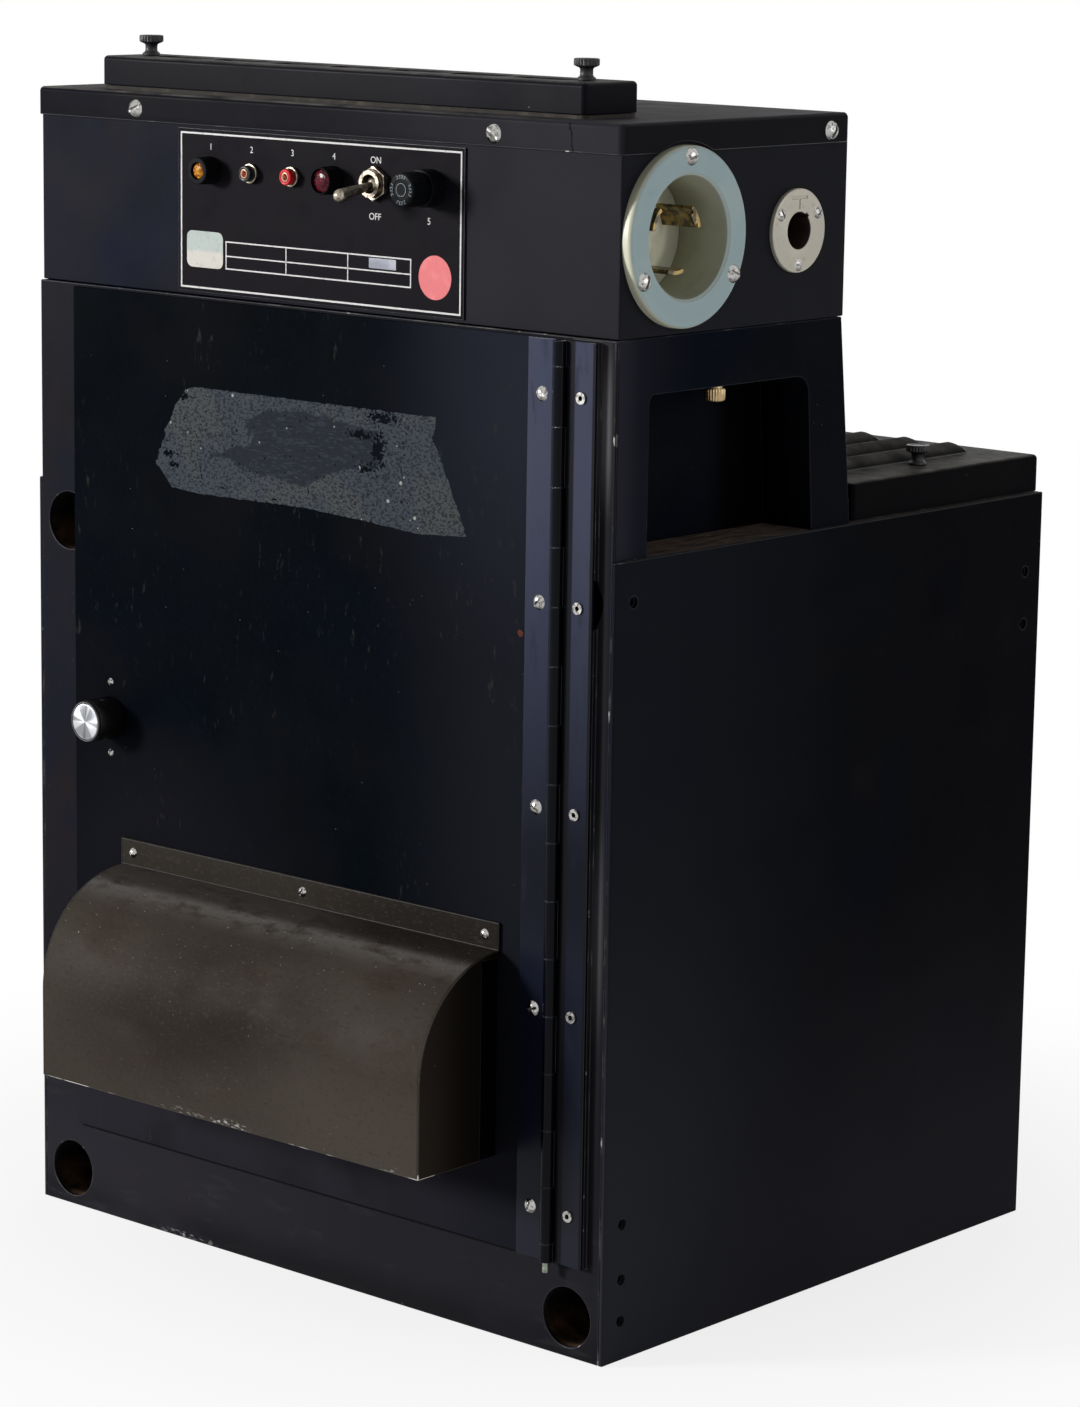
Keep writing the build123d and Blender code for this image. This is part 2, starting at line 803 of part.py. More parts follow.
vent_reach = vent_top + part_gap - lid_top + thin_sheet + thumb_reach
for side, name in ((-1, "vent_screw_left"), (1, "vent_screw_right")):
    with BuildPart() as vent_screw:
        with Locations((side * vent_screw_x, vent_y, vent_top + part_gap)):
            add(thumb_screw(vent_reach))
    save(vent_screw, name)

# Rear cover: a shallow pan whose top is pressed into louvres that open to the left
rear_foot = case_height + part_gap
rear_top = rear_foot + rear_cover_height


def louvre_bank(inset, foot_z):
    """All the louvres as solids, drawn in by inset and reaching down to foot_z."""
    crest = rear_top + louvre_rise - inset
    foot = louvre_foot - inset
    end_y = louvre_length / 2 - inset
    bow_x = foot * louvre_slope_bow[0]
    bow_z = crest - louvre_rise * (1 - louvre_slope_bow[1])
    end_bow_y = end_y - louvre_end * louvre_end_bow[0]
    end_bow_z = foot_z + (crest - foot_z) * louvre_end_bow[1]
    with BuildPart() as bank:
        with BuildSketch(facing_front(louvre_y - end_y)):
            for i in range(louvre_count):
                x = (i + 0.5 - louvre_count / 2) * louvre_pitch
                with BuildLine():
                    Line((x, foot_z), (x, crest))
                    ThreePointArc((x, crest), (x + bow_x, bow_z), (x + foot, foot_z))
                    Line((x + foot, foot_z), (x, foot_z))
                make_face()
        extrude(amount=-2 * end_y)
        with BuildSketch(facing_right(-rear_cover_width / 2)):
            with BuildLine():
                Line((louvre_y - end_y, foot_z), (louvre_y + end_y, foot_z))
                ThreePointArc(
                    (louvre_y + end_y, foot_z),
                    (louvre_y + end_bow_y, end_bow_z),
                    (louvre_y + end_y - louvre_end, crest),
                )
                Line((louvre_y + end_y - louvre_end, crest), (louvre_y - end_y + louvre_end, crest))
                ThreePointArc(
                    (louvre_y - end_y + louvre_end, crest),
                    (louvre_y - end_bow_y, end_bow_z),
                    (louvre_y - end_y, foot_z),
                )
            make_face()
        extrude(amount=rear_cover_width, mode=Mode.INTERSECT)
    return bank.part


with BuildPart() as rear_cover:
    with BuildSketch(level(rear_foot)):
        with Locations((0, louvre_y)):
            Rectangle(rear_cover_width, rear_cover_depth)
    extrude(amount=rear_cover_height)
    fillet(rear_cover.edges().filter_by(Axis.Z), rear_cover_round)
    fillet(rear_cover.faces().sort_by(Axis.Z)[-1].edges(), rear_cover_top_round)
    add(louvre_bank(0, rear_top))
    with BuildSketch(level(rear_foot)):
        with Locations((0, louvre_y)):
            Rectangle(rear_cover_width - 2 * thin_sheet, rear_cover_depth - 2 * thin_sheet)
    extrude(amount=rear_cover_height - thin_sheet, mode=Mode.SUBTRACT)
    with Locations((-slip, 0, 0)):
        add(louvre_bank(louvre_sheet, rear_top - 2 * thin_sheet), mode=Mode.SUBTRACT)
    with Locations((rear_screw_x, louvre_y, rear_top), (-rear_screw_x, louvre_y, rear_top)):
        Hole(thumb_shank / 2 + bearing_gap, 2 * thin_sheet)
save(rear_cover, "rear_cover")

rear_reach = rear_top + part_gap - case_height + sheet + rear_thumb_reach
for side, name in ((-1, "rear_screw_left"), (1, "rear_screw_right")):
    with BuildPart() as rear_screw:
        with Locations((side * rear_screw_x, louvre_y, rear_top + part_gap)):
            add(thumb_screw(rear_reach))
    save(rear_screw, name)

# Door: a flat sheet with a lip inside the opening, an air port and the latch holes
latch_x = door_left + latch_from_edge
latch_height = door_foot + latch_from_foot
door_right = hinge_x - hinge_barrel / 2
lip_left = opening_left + sheet
lip_right = opening_right - sheet
lip_foot = opening_foot + sheet
lip_top = opening_top - sheet
hinge_screw_pitch = (door_height - hinge_screw_first - hinge_screw_last) / (hinge_screw_count - 1)
first_screw_z = door_foot + hinge_screw_first
hinge_screw_heights = [first_screw_z + i * hinge_screw_pitch for i in range(hinge_screw_count)]
hinge_screw_x = hinge_x - hinge_leaf + hinge_screw_inset
rivet_x = hinge_x + hinge_leaf - rivet_inset
hood_side = hinge_x - hinge_leaf - hood_hinge_gap
hood_width = 2 * hood_side
hood_foot = door_foot + hood_from_foot
hood_centre_z = hood_foot + hood_skirt
hood_flange_z = hood_centre_z + hood_radius + hood_flange / 2
hood_screw_x = (hood_screw_inset - hood_side, 0, hood_side - hood_screw_inset)
hood_inside = hood_radius - thin_sheet
collar_top = hood_centre_z + sqrt(hood_inside**2 - (hood_side_gap + collar_lap) ** 2) - slip
door_port_width = 2 * (hood_side - door_port_side)
port_low = hood_foot + door_port_foot
port_high = collar_top - door_port_top
door_port_z = (port_low + port_high) / 2
door_port_height = port_high - port_low
latch_screw_places = [
    (latch_x, latch_height + latch_screw_pitch / 2),
    (latch_x, latch_height - latch_screw_pitch / 2),
]

with BuildPart() as door_panel:
    with BuildSketch(facing_front(door_back)):
        with Locations(((door_left + door_right) / 2, door_foot + door_height / 2)):
            Rectangle(door_right - door_left, door_height)
        with Locations((0, door_port_z)):
            Rectangle(door_port_width, door_port_height, mode=Mode.SUBTRACT)
    extrude(amount=sheet)
    with BuildSketch(facing_front(door_back)):
        with Locations(((lip_left + lip_right) / 2, (lip_foot + lip_top) / 2)):
            Rectangle(lip_right - lip_left, lip_top - lip_foot)
            Rectangle(
                lip_right - lip_left - 2 * thin_sheet,
                lip_top - lip_foot - 2 * thin_sheet,
                mode=Mode.SUBTRACT,
            )
    extrude(amount=-door_lip)
    with BuildSketch(facing_front(door_back)):
        with Locations((lip_left, latch_height)):
            Rectangle(4 * thin_sheet, 2 * cam_length)
    extrude(amount=-door_lip, mode=Mode.SUBTRACT)
    with Locations(on_front(latch_x, door_front, latch_height)):
        Hole(latch_shaft / 2 + bearing_gap, sheet)
    with Locations(*[on_front(x, door_front, z) for x, z in latch_screw_places]):
        Hole(latch_screw_shank / 2 + slip, sheet)
    with Locations(*[on_front(x, door_front, hood_flange_z) for x in hood_screw_x]):
        Hole(hood_screw_shank / 2 + slip, sheet)
    with Locations(*[on_front(hinge_screw_x, door_front, z) for z in hinge_screw_heights]):
        Hole(hinge_screw_shank / 2 + slip, sheet)
save(door_panel, "door_panel")

# Piano hinge: knuckles of the two leaves take turns on one pin
knuckle_ends = [door_foot]
knuckle_end = door_foot + hinge_first_knuckle
while knuckle_end < door_top - part_gap:
    knuckle_ends.append(knuckle_end)
    knuckle_end += hinge_knuckle
knuckle_ends.append(door_top)
knuckles = list(zip(knuckle_ends[:-1], knuckle_ends[1:]))
leaf_front = door_front - hinge_sheet
knuckle_room = hinge_barrel / 2 + part_gap


def leaf_blank(side):
    """Flat leaf from its outer edge to the line of the pin; side is -1 on the door."""
    with BuildPart() as blank:
        with BuildSketch(facing_front(door_front)):
            with Locations((hinge_x + side * hinge_leaf / 2, (door_foot + door_top) / 2)):
                Rectangle(hinge_leaf, door_top - door_foot)
        extrude(amount=hinge_sheet)
    return blank.part


def hinge_half(side, own, other, fixings, hole):
    """One leaf with its own rolled knuckles and notches for the knuckles of the other."""
    with BuildPart() as half:
        add(leaf_blank(side))
        for low, high in own:
            with BuildSketch(level(low + part_gap / 2)):
                with Locations((hinge_x, hinge_y)):
                    Circle(hinge_barrel / 2)
            extrude(amount=high - low - part_gap)
        for low, high in other:
            with BuildSketch(level(low - part_gap / 2)):
                with Locations((hinge_x, hinge_y)):
                    Rectangle(2 * knuckle_room, 2 * knuckle_room)
            extrude(amount=high - low + part_gap, mode=Mode.SUBTRACT)
        with Locations((hinge_x, hinge_y, door_top)):
            Hole(hinge_pin_width / 2 + bearing_gap, door_top - door_foot)
        with Locations(*fixings):
            Hole(hole, hinge_sheet)
    return half


hinge_screw_places = [on_front(hinge_screw_x, leaf_front, z) for z in hinge_screw_heights]
rivet_places = [on_front(rivet_x, leaf_front, z) for z in hinge_screw_heights]
hinge_screw_hole = hinge_screw_shank / 2 + slip
hinge_door_leaf = hinge_half(-1, knuckles[1::2], knuckles[0::2], hinge_screw_places, hinge_screw_hole)
save(hinge_door_leaf, "hinge_door_leaf")
hinge_frame_leaf = hinge_half(1, knuckles[0::2], knuckles[1::2], rivet_places, rivet_shank / 2 + slip)
save(hinge_frame_leaf, "hinge_frame_leaf")

with BuildPart() as hinge_pin:
    with BuildSketch(level(door_foot - hinge_pin_overhang)):
        with Locations((hinge_x, hinge_y)):
            Circle(hinge_pin_width / 2)
    extrude(amount=door_height + hinge_pin_overhang - part_gap)
save(hinge_pin, "hinge_pin")

hinge_screw = round_screw(hinge_screw_head, hinge_screw_rise, hinge_screw_shank, hinge_sheet + sheet)
with BuildPart() as hinge_screws:
    with Locations(*turned(hinge_screw_places, (70, 15, -30, 48, -12))):
        add(hinge_screw)
save(hinge_screws, "hinge_screws")

# Tubular rivets of the fixed leaf
with BuildPart() as hinge_rivets:
    with Locations(*rivet_places):
        Cylinder(rivet_shank / 2, hinge_sheet, align=(Align.CENTER, Align.CENTER, Align.MAX))
        Cylinder(rivet_head / 2, rivet_rise, align=(Align.CENTER, Align.CENTER, Align.MIN))
        Hole(rivet_bore / 2, hinge_sheet + rivet_rise)
    with Locations(*[plane.offset(rivet_rise) for plane in rivet_places]):
        Hole(rivet_bore / 2, hinge_sheet + rivet_rise)
save(hinge_rivets, "hinge_rivets")

# Air hood: a quarter round that drops to a straight skirt, open below
hood_side_back = door_front - hood_side_gap
hood_arc_top = hood_centre_z + hood_radius


def hood_outline(x, inset):
    """Side view of the hood, drawn in by inset, from the door out to the skirt."""
    radius = hood_radius - inset
    with BuildSketch(facing_right(x)) as outline:
        with BuildLine():
            CenterArc((door_front, hood_centre_z), radius, 90, 90)
            Line((door_front - radius, hood_centre_z), (door_front - radius, hood_foot))
            Line((door_front - radius, hood_foot), (door_front, hood_foot))
            Line((door_front, hood_foot), (door_front, hood_centre_z + radius))
        make_face()
    return outline.sketch


with BuildPart() as air_hood:
    extrude(hood_outline(-hood_width / 2, 0), amount=hood_width)
    extrude(
        hood_outline(-hood_width / 2 + thin_sheet, thin_sheet),
        amount=hood_width - 2 * thin_sheet,
        mode=Mode.SUBTRACT,
    )
    with BuildSketch(facing_front(hood_side_back)):
        with Locations((0, (hood_foot + hood_arc_top) / 2 - 2 * thin_sheet)):
            Rectangle(hood_width, hood_arc_top - hood_foot)
    extrude(amount=-hood_side_gap, mode=Mode.SUBTRACT)
    with BuildSketch(facing_front(door_front)):
        with Locations((0, hood_flange_z - thin_sheet / 2)):
            Rectangle(hood_width, hood_flange + thin_sheet)
    extrude(amount=thin_sheet)
    with Locations(*[on_front(x, door_front - thin_sheet, hood_flange_z) for x in hood_screw_x]):
        Hole(hood_screw_shank / 2 + slip, thin_sheet)
save(air_hood, "air_hood")

hood_screw = round_screw(hood_screw_head, hood_screw_rise, hood_screw_shank, thin_sheet + sheet)
hood_screw_places = [on_front(x, door_front - thin_sheet, hood_flange_z) for x in hood_screw_x]
with BuildPart() as hood_screws:
    with Locations(*turned(hood_screw_places, (5, 62, -40))):
        add(hood_screw)
save(hood_screws, "hood_screws")

# Collar: the flanged duct between the door and the hood
collar_width = hood_width - 2 * thin_sheet - 2 * slip

with BuildPart() as hood_collar:
    with BuildSketch(facing_front(door_front)):
        with Locations((0, (hood_foot + collar_top) / 2)):
            Rectangle(collar_width, collar_top - hood_foot)
    extrude(amount=hood_side_gap + collar_lap)
    with BuildSketch(facing_front(door_front - thin_sheet)):
        with Locations((0, (hood_foot + collar_top) / 2 - thin_sheet)):
            Rectangle(collar_width - 2 * thin_sheet, collar_top - hood_foot)
    extrude(amount=hood_side_gap + collar_lap, mode=Mode.SUBTRACT)
    with BuildSketch(facing_front(door_front)):
        with Locations((0, door_port_z)):
            Rectangle(door_port_width, door_port_height)
    extrude(amount=thin_sheet, mode=Mode.SUBTRACT)
save(hood_collar, "hood_collar")

# Latch: the knob turns a shaft and a cam that grips behind the frame
cam_front = frame_inner + part_gap
latch_body_depth = cam_front - part_gap - door_back

with BuildPart() as latch_knob:
    with BuildSketch(on_front(latch_x, door_front - part_gap, latch_height)):
        Circle(knob_width / 2)
    extrude(amount=knob_length, taper=knob_draft)
    with BuildSketch(on_front(latch_x, door_front - part_gap - knob_length, latch_height)):
        Circle(knob_width / 2 - knob_rim)
    extrude(amount=-knob_dish, mode=Mode.SUBTRACT)
    with BuildSketch(on_front(latch_x, door_front - part_gap, latch_height)):
        Circle(latch_shaft / 2)
    extrude(amount=-(cam_front - door_front + part_gap + sheet))
save(latch_knob, "latch_knob")

with BuildPart() as knob_cap:
    with BuildSketch(on_front(latch_x, door_front - part_gap - knob_length + knob_dish, latch_height)):
        Circle(knob_width / 2 - knob_rim)
    extrude(amount=knob_dish - slip)
save(knob_cap, "knob_cap")

with BuildPart() as latch_cam:
    with BuildSketch(on_front(latch_x, cam_front, latch_height)):
        with Locations((-cam_length / 2, 0)):
            Rectangle(cam_length, cam_width)
        Circle(cam_width / 2)
        Circle(latch_shaft / 2, mode=Mode.SUBTRACT)
    extrude(amount=-sheet)
    fillet(latch_cam.edges().filter_by(Axis.Y).group_by(Axis.X)[0], cam_width / 3)
save(latch_cam, "latch_cam")

# Bearing block of the latch, screwed to the back of the door
with BuildPart() as latch_body:
    with BuildSketch(facing_front(door_back)):
        with Locations((latch_x, latch_height)):
            SlotCenterToCenter(latch_screw_pitch, latch_shaft + 2 * latch_shaft_wall, rotation=90)
    extrude(amount=-latch_body_depth)
    with Locations(on_front(latch_x, door_back, latch_height)):
        Hole(latch_shaft / 2 + bearing_gap, latch_body_depth)
    with Locations(*[on_front(x, door_back, z) for x, z in latch_screw_places]):
        Hole(latch_screw_shank / 2 + slip, latch_body_depth)
save(latch_body, "latch_body")

latch_screw = round_screw(
    latch_screw_head, latch_screw_rise, latch_screw_shank, sheet + latch_body_depth
)
with BuildPart() as latch_screws:
    with Locations(*turned([on_front(x, door_front, z) for x, z in latch_screw_places], (90, 84))):
        add(latch_screw)
save(latch_screws, "latch_screws")

# Control panel: a thin engraved plate on the front of the head
panel_height = lid_foot - panel_top_gap - head_foot - panel_foot

with BuildPart() as control_panel:
    with BuildSketch(facing_front(head_front)):
        with Locations((panel_centre, head_foot + panel_foot + panel_height / 2)):
            Rectangle(panel_width, panel_height)
    extrude(amount=panel_sheet)
    extrude(control_holes(panel_front), amount=-panel_sheet, mode=Mode.SUBTRACT)
save(control_panel, "control_panel")


# Pilot lights: a bezel with a body behind the panel, and a coloured lens in each
def pilot_place(i, out=0.0):
    """Place of pilot light i on the panel, moved out of it by out."""
    return on_front(pilot_x[i], panel_front - out, control_row)


with BuildPart() as pilot_bezels:
    for i, lens in enumerate((amber_lens, red_lens)):
        with BuildSketch(pilot_place(i)):
            Circle(pilot_bezel / 2)
        extrude(amount=pilot_bezel_height, taper=pilot_bezel_draft)
        with BuildSketch(pilot_place(i)):
            Circle(pilot_body / 2)
        extrude(amount=-pilot_reach)
        with BuildSketch(pilot_place(i, pilot_bezel_height)):
            Circle(lens / 2)
        extrude(amount=-pilot_seat, mode=Mode.SUBTRACT)
save(pilot_bezels, "pilot_bezels")


def pilot_lens(width, i):
    """Lens that stands in its bezel and ends in a dome."""
    foot = pilot_bezel_height - pilot_seat
    crown = foot + pilot_lens_height
    shoulder = crown - pilot_dome
    with BuildPart() as lens:
        with BuildSketch(Plane.XZ):
            with BuildLine():
                Line((0, foot), (width / 2 - slip, foot))
                Line((width / 2 - slip, foot), (width / 2 - slip, shoulder))
                TangentArc((0, crown), (width / 2 - slip, shoulder), tangent=(1, 0))
                Line((0, crown), (0, foot))
            make_face()
        revolve(axis=Axis.Z)
    with BuildPart() as placed:
        with Locations(pilot_place(i)):
            add(lens.part)
    return placed


amber_pilot_lens = pilot_lens(amber_lens, 0)
save(amber_pilot_lens, "amber_pilot_lens")
red_pilot_lens = pilot_lens(red_lens, 1)
save(red_pilot_lens, "red_pilot_lens")


# Test jacks: a moulded barrel with a socket bore, held by a ring nut
def test_jack(x):
    """One jack, with its barrel in front of the panel and its thread through it."""
    with BuildPart() as jack:
        with BuildSketch(on_front(x, panel_front - jack_nut_height, control_row)):
            Circle(jack_body / 2)
        extrude(amount=jack_height - jack_nut_height)
        with BuildSketch(on_front(x, panel_front - jack_nut_height, control_row)):
            Circle(jack_thread / 2)
        extrude(amount=-(jack_nut_height + jack_reach))
        with Locations(on_front(x, panel_front - jack_height, control_row)):
            Hole(jack_bore / 2, jack_height + jack_reach / 2)
    return jack


black_test_jack = test_jack(jack_x[0])
save(black_test_jack, "black_test_jack")
red_test_jack = test_jack(jack_x[1])
save(red_test_jack, "red_test_jack")

# Ring nuts of the test jacks and the hexagon nut of the toggle switch
with BuildPart() as panel_nuts:
    for x in jack_x:
        with BuildSketch(on_front(x, panel_front, control_row)):
            Circle(jack_nut / 2)
            Circle(jack_thread / 2 + slip, mode=Mode.SUBTRACT)
        extrude(amount=jack_nut_height)
    with BuildSketch(on_front(toggle_x, panel_front, control_row)):
        RegularPolygon(toggle_nut_corners / 2, 6, rotation=30)
        Circle(toggle_thread / 2 + slip, mode=Mode.SUBTRACT)
    extrude(amount=toggle_nut_height)
save(panel_nuts, "panel_nuts")

# Toggle switch: case and threaded bush, and the bat lever that rocks in the bush
bush_front = panel_front - toggle_bush_height
pivot_y = bush_front + toggle_pivot_depth
case_wide, case_deep, case_high = toggle_case

with BuildPart() as toggle_body:
    with BuildSketch(facing_front(head_front + sheet)):
        with Locations((toggle_x, control_row)):
            Rectangle(case_wide, case_high)
    extrude(amount=-case_deep)
    with BuildSketch(on_front(toggle_x, head_front + sheet, control_row)):
        Circle(toggle_thread / 2)
    extrude(amount=head_front + sheet - bush_front)
    with Locations(Plane(origin=(toggle_x, pivot_y, control_row))):
        Sphere(toggle_ball / 2 + part_gap, mode=Mode.SUBTRACT)
    with BuildSketch(on_front(toggle_x, pivot_y, control_row)):
        Circle(toggle_ball / 2 + part_gap)
    extrude(amount=toggle_pivot_depth, taper=-toggle_throat_draft, mode=Mode.SUBTRACT)
save(toggle_body, "toggle_body")

with BuildPart() as toggle_bat:
    with BuildSketch(Plane.XZ):
        with BuildLine():
            waist = sqrt((toggle_ball / 2) ** 2 - (toggle_neck / 2) ** 2)
            tip_start = toggle_lever_length - toggle_tip / 2
            ThreePointArc((0, -toggle_ball / 2), (toggle_ball / 2, 0), (toggle_neck / 2, waist))
            Line((toggle_neck / 2, waist), (toggle_tip / 2, tip_start))
            ThreePointArc(
                (toggle_tip / 2, tip_start),
                (toggle_tip / 2 * sin(radians(45)), tip_start + toggle_tip / 2 * cos(radians(45))),
                (0, toggle_lever_length),
            )
            Line((0, toggle_lever_length), (0, -toggle_ball / 2))
        make_face()
    revolve(axis=Axis.Z)

with BuildPart() as toggle_lever:
    with Locations(Plane(origin=(toggle_x, pivot_y, control_row))):
        add(toggle_bat.part, rotation=(90 + toggle_lean, 0, 0))
save(toggle_lever, "toggle_lever")

# Fuse holder: flange and barrel, a cap that turns and draws the fuse out with it
cap_back = panel_front - fuse_flange_height - part_gap
fuse_bore = fuse_stem / 2 + part_gap
stem_end = cap_back + fuse_stem_length
fuse_room_end = stem_end + part_gap + fuse_length + fuse_end_room

with BuildPart() as fuse_holder:
    with BuildSketch(on_front(fuse_x, panel_front, control_row)):
        Circle(fuse_flange / 2)
    extrude(amount=fuse_flange_height)
    with BuildSketch(on_front(fuse_x, panel_front, control_row)):
        Circle(fuse_thread / 2)
    extrude(amount=panel_front - fuse_room_end - sheet)
    with Locations(on_front(fuse_x, panel_front - fuse_flange_height, control_row)):
        Hole(fuse_bore, fuse_room_end - panel_front + fuse_flange_height)
save(fuse_holder, "fuse_holder")

with BuildPart() as fuse_cap:
    with BuildSketch(on_front(fuse_x, cap_back, control_row)):
        Circle(fuse_cap_width / 2)
    extrude(amount=fuse_cap_height)
    chamfer(fuse_cap.faces().sort_by(Axis.Y)[0].edges(), fuse_cap_chamfer)
    with BuildSketch(on_front(fuse_x, cap_back, control_row)):
        Circle(fuse_stem / 2)
    extrude(amount=-fuse_stem_length)
save(fuse_cap, "fuse_cap")

with BuildPart() as fuse_cartridge:
    with BuildSketch(on_front(fuse_x, stem_end + part_gap, control_row)):
        Circle(fuse_width / 2)
    extrude(amount=-fuse_length)
save(fuse_cartridge, "fuse_cartridge")

# Power inlet: a nylon flange and cup, an insert at the bottom and three curved blades
insert_x = head_side - inlet_depth
inlet_face = on_right(head_side, inlet_y, inlet_height)

with BuildPart() as inlet_flange:
    with BuildSketch(inlet_face):
        Circle(inlet_width / 2)
    extrude(amount=inlet_thickness)
    fillet(inlet_flange.faces().sort_by(Axis.X)[-1].edges(), inlet_round)
    with BuildSketch(inlet_face):
        Circle(inlet_cup)
    extrude(amount=-inlet_depth)
    with BuildSketch(inlet_face.offset(inlet_thickness)):
        Circle(inlet_mouth / 2)
    extrude(amount=-(inlet_thickness + inlet_depth - inlet_wall), mode=Mode.SUBTRACT)
    front_circles = inlet_flange.edges().filter_by(GeomType.CIRCLE).group_by(Axis.X)[-1]
    chamfer(front_circles.sort_by(SortBy.RADIUS)[0], inlet_chamfer)
    with Locations(*[place.offset(inlet_thickness) for place in inlet_places]):
        Hole(inlet_screw_shank / 2 + slip, inlet_thickness)
save(inlet_flange, "inlet_flange")

insert_foot = insert_x + inlet_wall
with BuildPart() as inlet_insert:
    with BuildSketch(on_right(insert_foot, inlet_y, inlet_height)):
        Circle(inlet_mouth / 2 - slip)
    extrude(amount=insert_height)
    with BuildSketch(on_right(insert_foot, inlet_y, inlet_height)):
        Circle(blade_circle / 2 - 3 * blade_thickness)
    extrude(amount=insert_height + insert_boss)
save(inlet_insert, "inlet_insert")

blade_x = insert_foot + insert_height
hook_reach = blade_circle / 2 + blade_thickness - blade_hook / 2
with BuildPart() as inlet_blades:
    for i in range(3):
        with BuildSketch(on_right(blade_x, inlet_y, inlet_height)):
            with BuildLine():
                start = first_blade + 120 * i - blade_span / 2
                inner = CenterArc((0, 0), blade_circle / 2, start, blade_span)
                outer = CenterArc((0, 0), blade_circle / 2 + blade_thickness, start, blade_span)
                Line(inner @ 0, outer @ 0)
                Line(inner @ 1, outer @ 1)
            make_face()
        extrude(amount=blade_length)
    with BuildSketch(on_right(blade_x + blade_length, inlet_y, inlet_height)):
        with PolarLocations(hook_reach, 1, start_angle=first_blade):
            Rectangle(blade_hook, blade_thickness * 3)
    extrude(amount=-blade_thickness)
save(inlet_blades, "inlet_blades")

inlet_screw = round_screw(
    inlet_screw_head, inlet_screw_rise, inlet_screw_shank, inlet_thickness + 2 * sheet
)
with BuildPart() as inlet_screws:
    with Locations(*turned([place.offset(inlet_thickness) for place in inlet_places], (20, 75, -25))):
        add(inlet_screw)
save(inlet_screws, "inlet_screws")

# Signal socket: a satin plate with a keyed bore and a cup behind it
socket_face = on_right(head_side, socket_y, socket_height)

with BuildPart() as socket_plate:
    with BuildSketch(socket_face):
        Circle(socket_width / 2)
    extrude(amount=socket_thickness)
    fillet(socket_plate.faces().sort_by(Axis.X)[-1].edges(), socket_round)
    with BuildSketch(socket_face):
        Circle(socket_bore / 2 + inlet_wall)
    extrude(amount=-socket_depth)
    with BuildSketch(socket_face.offset(socket_thickness)):
        Circle(socket_bore / 2)
        with PolarLocations(socket_bore / 2, 1, start_angle=socket_key_turn):
            Rectangle(*socket_key)
    extrude(amount=-(socket_thickness + socket_depth - inlet_wall), mode=Mode.SUBTRACT)
    with BuildSketch(socket_face.offset(socket_thickness)):
        with Locations((0, socket_groove_drop)):
            Rectangle(socket_groove_length, socket_groove_width)
        with Locations((0, (socket_groove_drop + socket_bore / 2 + socket_groove_width) / 2)):
            Rectangle(socket_groove_width, socket_groove_drop - socket_bore / 2 - socket_groove_width)
    extrude(amount=-socket_groove_depth, mode=Mode.SUBTRACT)
    with Locations(*[place.offset(socket_thickness) for place in socket_places]):
        Hole(socket_screw_shank / 2 + slip, socket_thickness)
save(socket_plate, "socket_plate")

socket_screw = round_screw(
    socket_screw_head, socket_screw_rise, socket_screw_shank, socket_thickness + 2 * sheet
)
with BuildPart() as socket_screws:
    with Locations(*turned([place.offset(socket_thickness) for place in socket_places], (0, 50, -65))):
        add(socket_screw)
save(socket_screws, "socket_screws")

# Condenser: a square stepped lens in a rebated frame behind the rear aperture
lens_size = aperture + 2 * lens_margin
lens_back = rear_inner - part_gap
lens_front = lens_back - lens_thickness

with BuildPart() as lens_frame:
    with BuildSketch(facing_front(rear_inner)):
        with Locations((0, axis_height)):
            Rectangle(lens_size + 2 * lens_frame_width, lens_size + 2 * lens_frame_width)
            Rectangle(aperture - 2 * lens_margin, aperture - 2 * lens_margin, mode=Mode.SUBTRACT)
    extrude(amount=lens_frame_depth)
    with BuildSketch(facing_front(rear_inner)):
        with Locations((0, axis_height)):
            Rectangle(lens_size + 2 * slip, lens_size + 2 * slip)
    extrude(amount=lens_thickness + lens_groove + part_gap, mode=Mode.SUBTRACT)
    with Locations(*[on_front(x, rear_inner, z) for x, z in rod_points]):
        Hole(tube_radius + lens_frame_tube_gap, case_depth)
save(lens_frame, "lens_frame")

with BuildPart() as condenser_lens:
    with BuildSketch(facing_front(lens_back)):
        with Locations((0, axis_height)):
            Rectangle(lens_size, lens_size)
    extrude(amount=lens_thickness)
    with BuildSketch(Plane.XY.offset(axis_height)):
        with BuildLine():
            ring = (aperture / 2 - 2 * lens_margin) / lens_ring_count
            points = [(0, lens_front + lens_thickness / 2)]
            for i in range(lens_ring_count):
                points.append((i * ring + slip * (i > 0), lens_front - lens_groove))
                points.append(((i + 1) * ring, lens_front))
            points.append((lens_ring_count * ring, lens_front + lens_thickness / 2))
            Polyline(*points, close=True)
        make_face()
    revolve(axis=Axis((0, 0, axis_height), (0, 1, 0)))
save(condenser_lens, "condenser_lens")

# Lamp: quartz bulb on a two-pin base, upright on the optical axis
lamp_y = case_front + lamp_from_front
base_wide, base_deep, base_high = bulb_base
bulb_foot = axis_height - filament_height
socket_top = bulb_foot - base_high
socket_wide, socket_deep, socket_high = lamp_socket_size
bracket_top = socket_top - socket_high

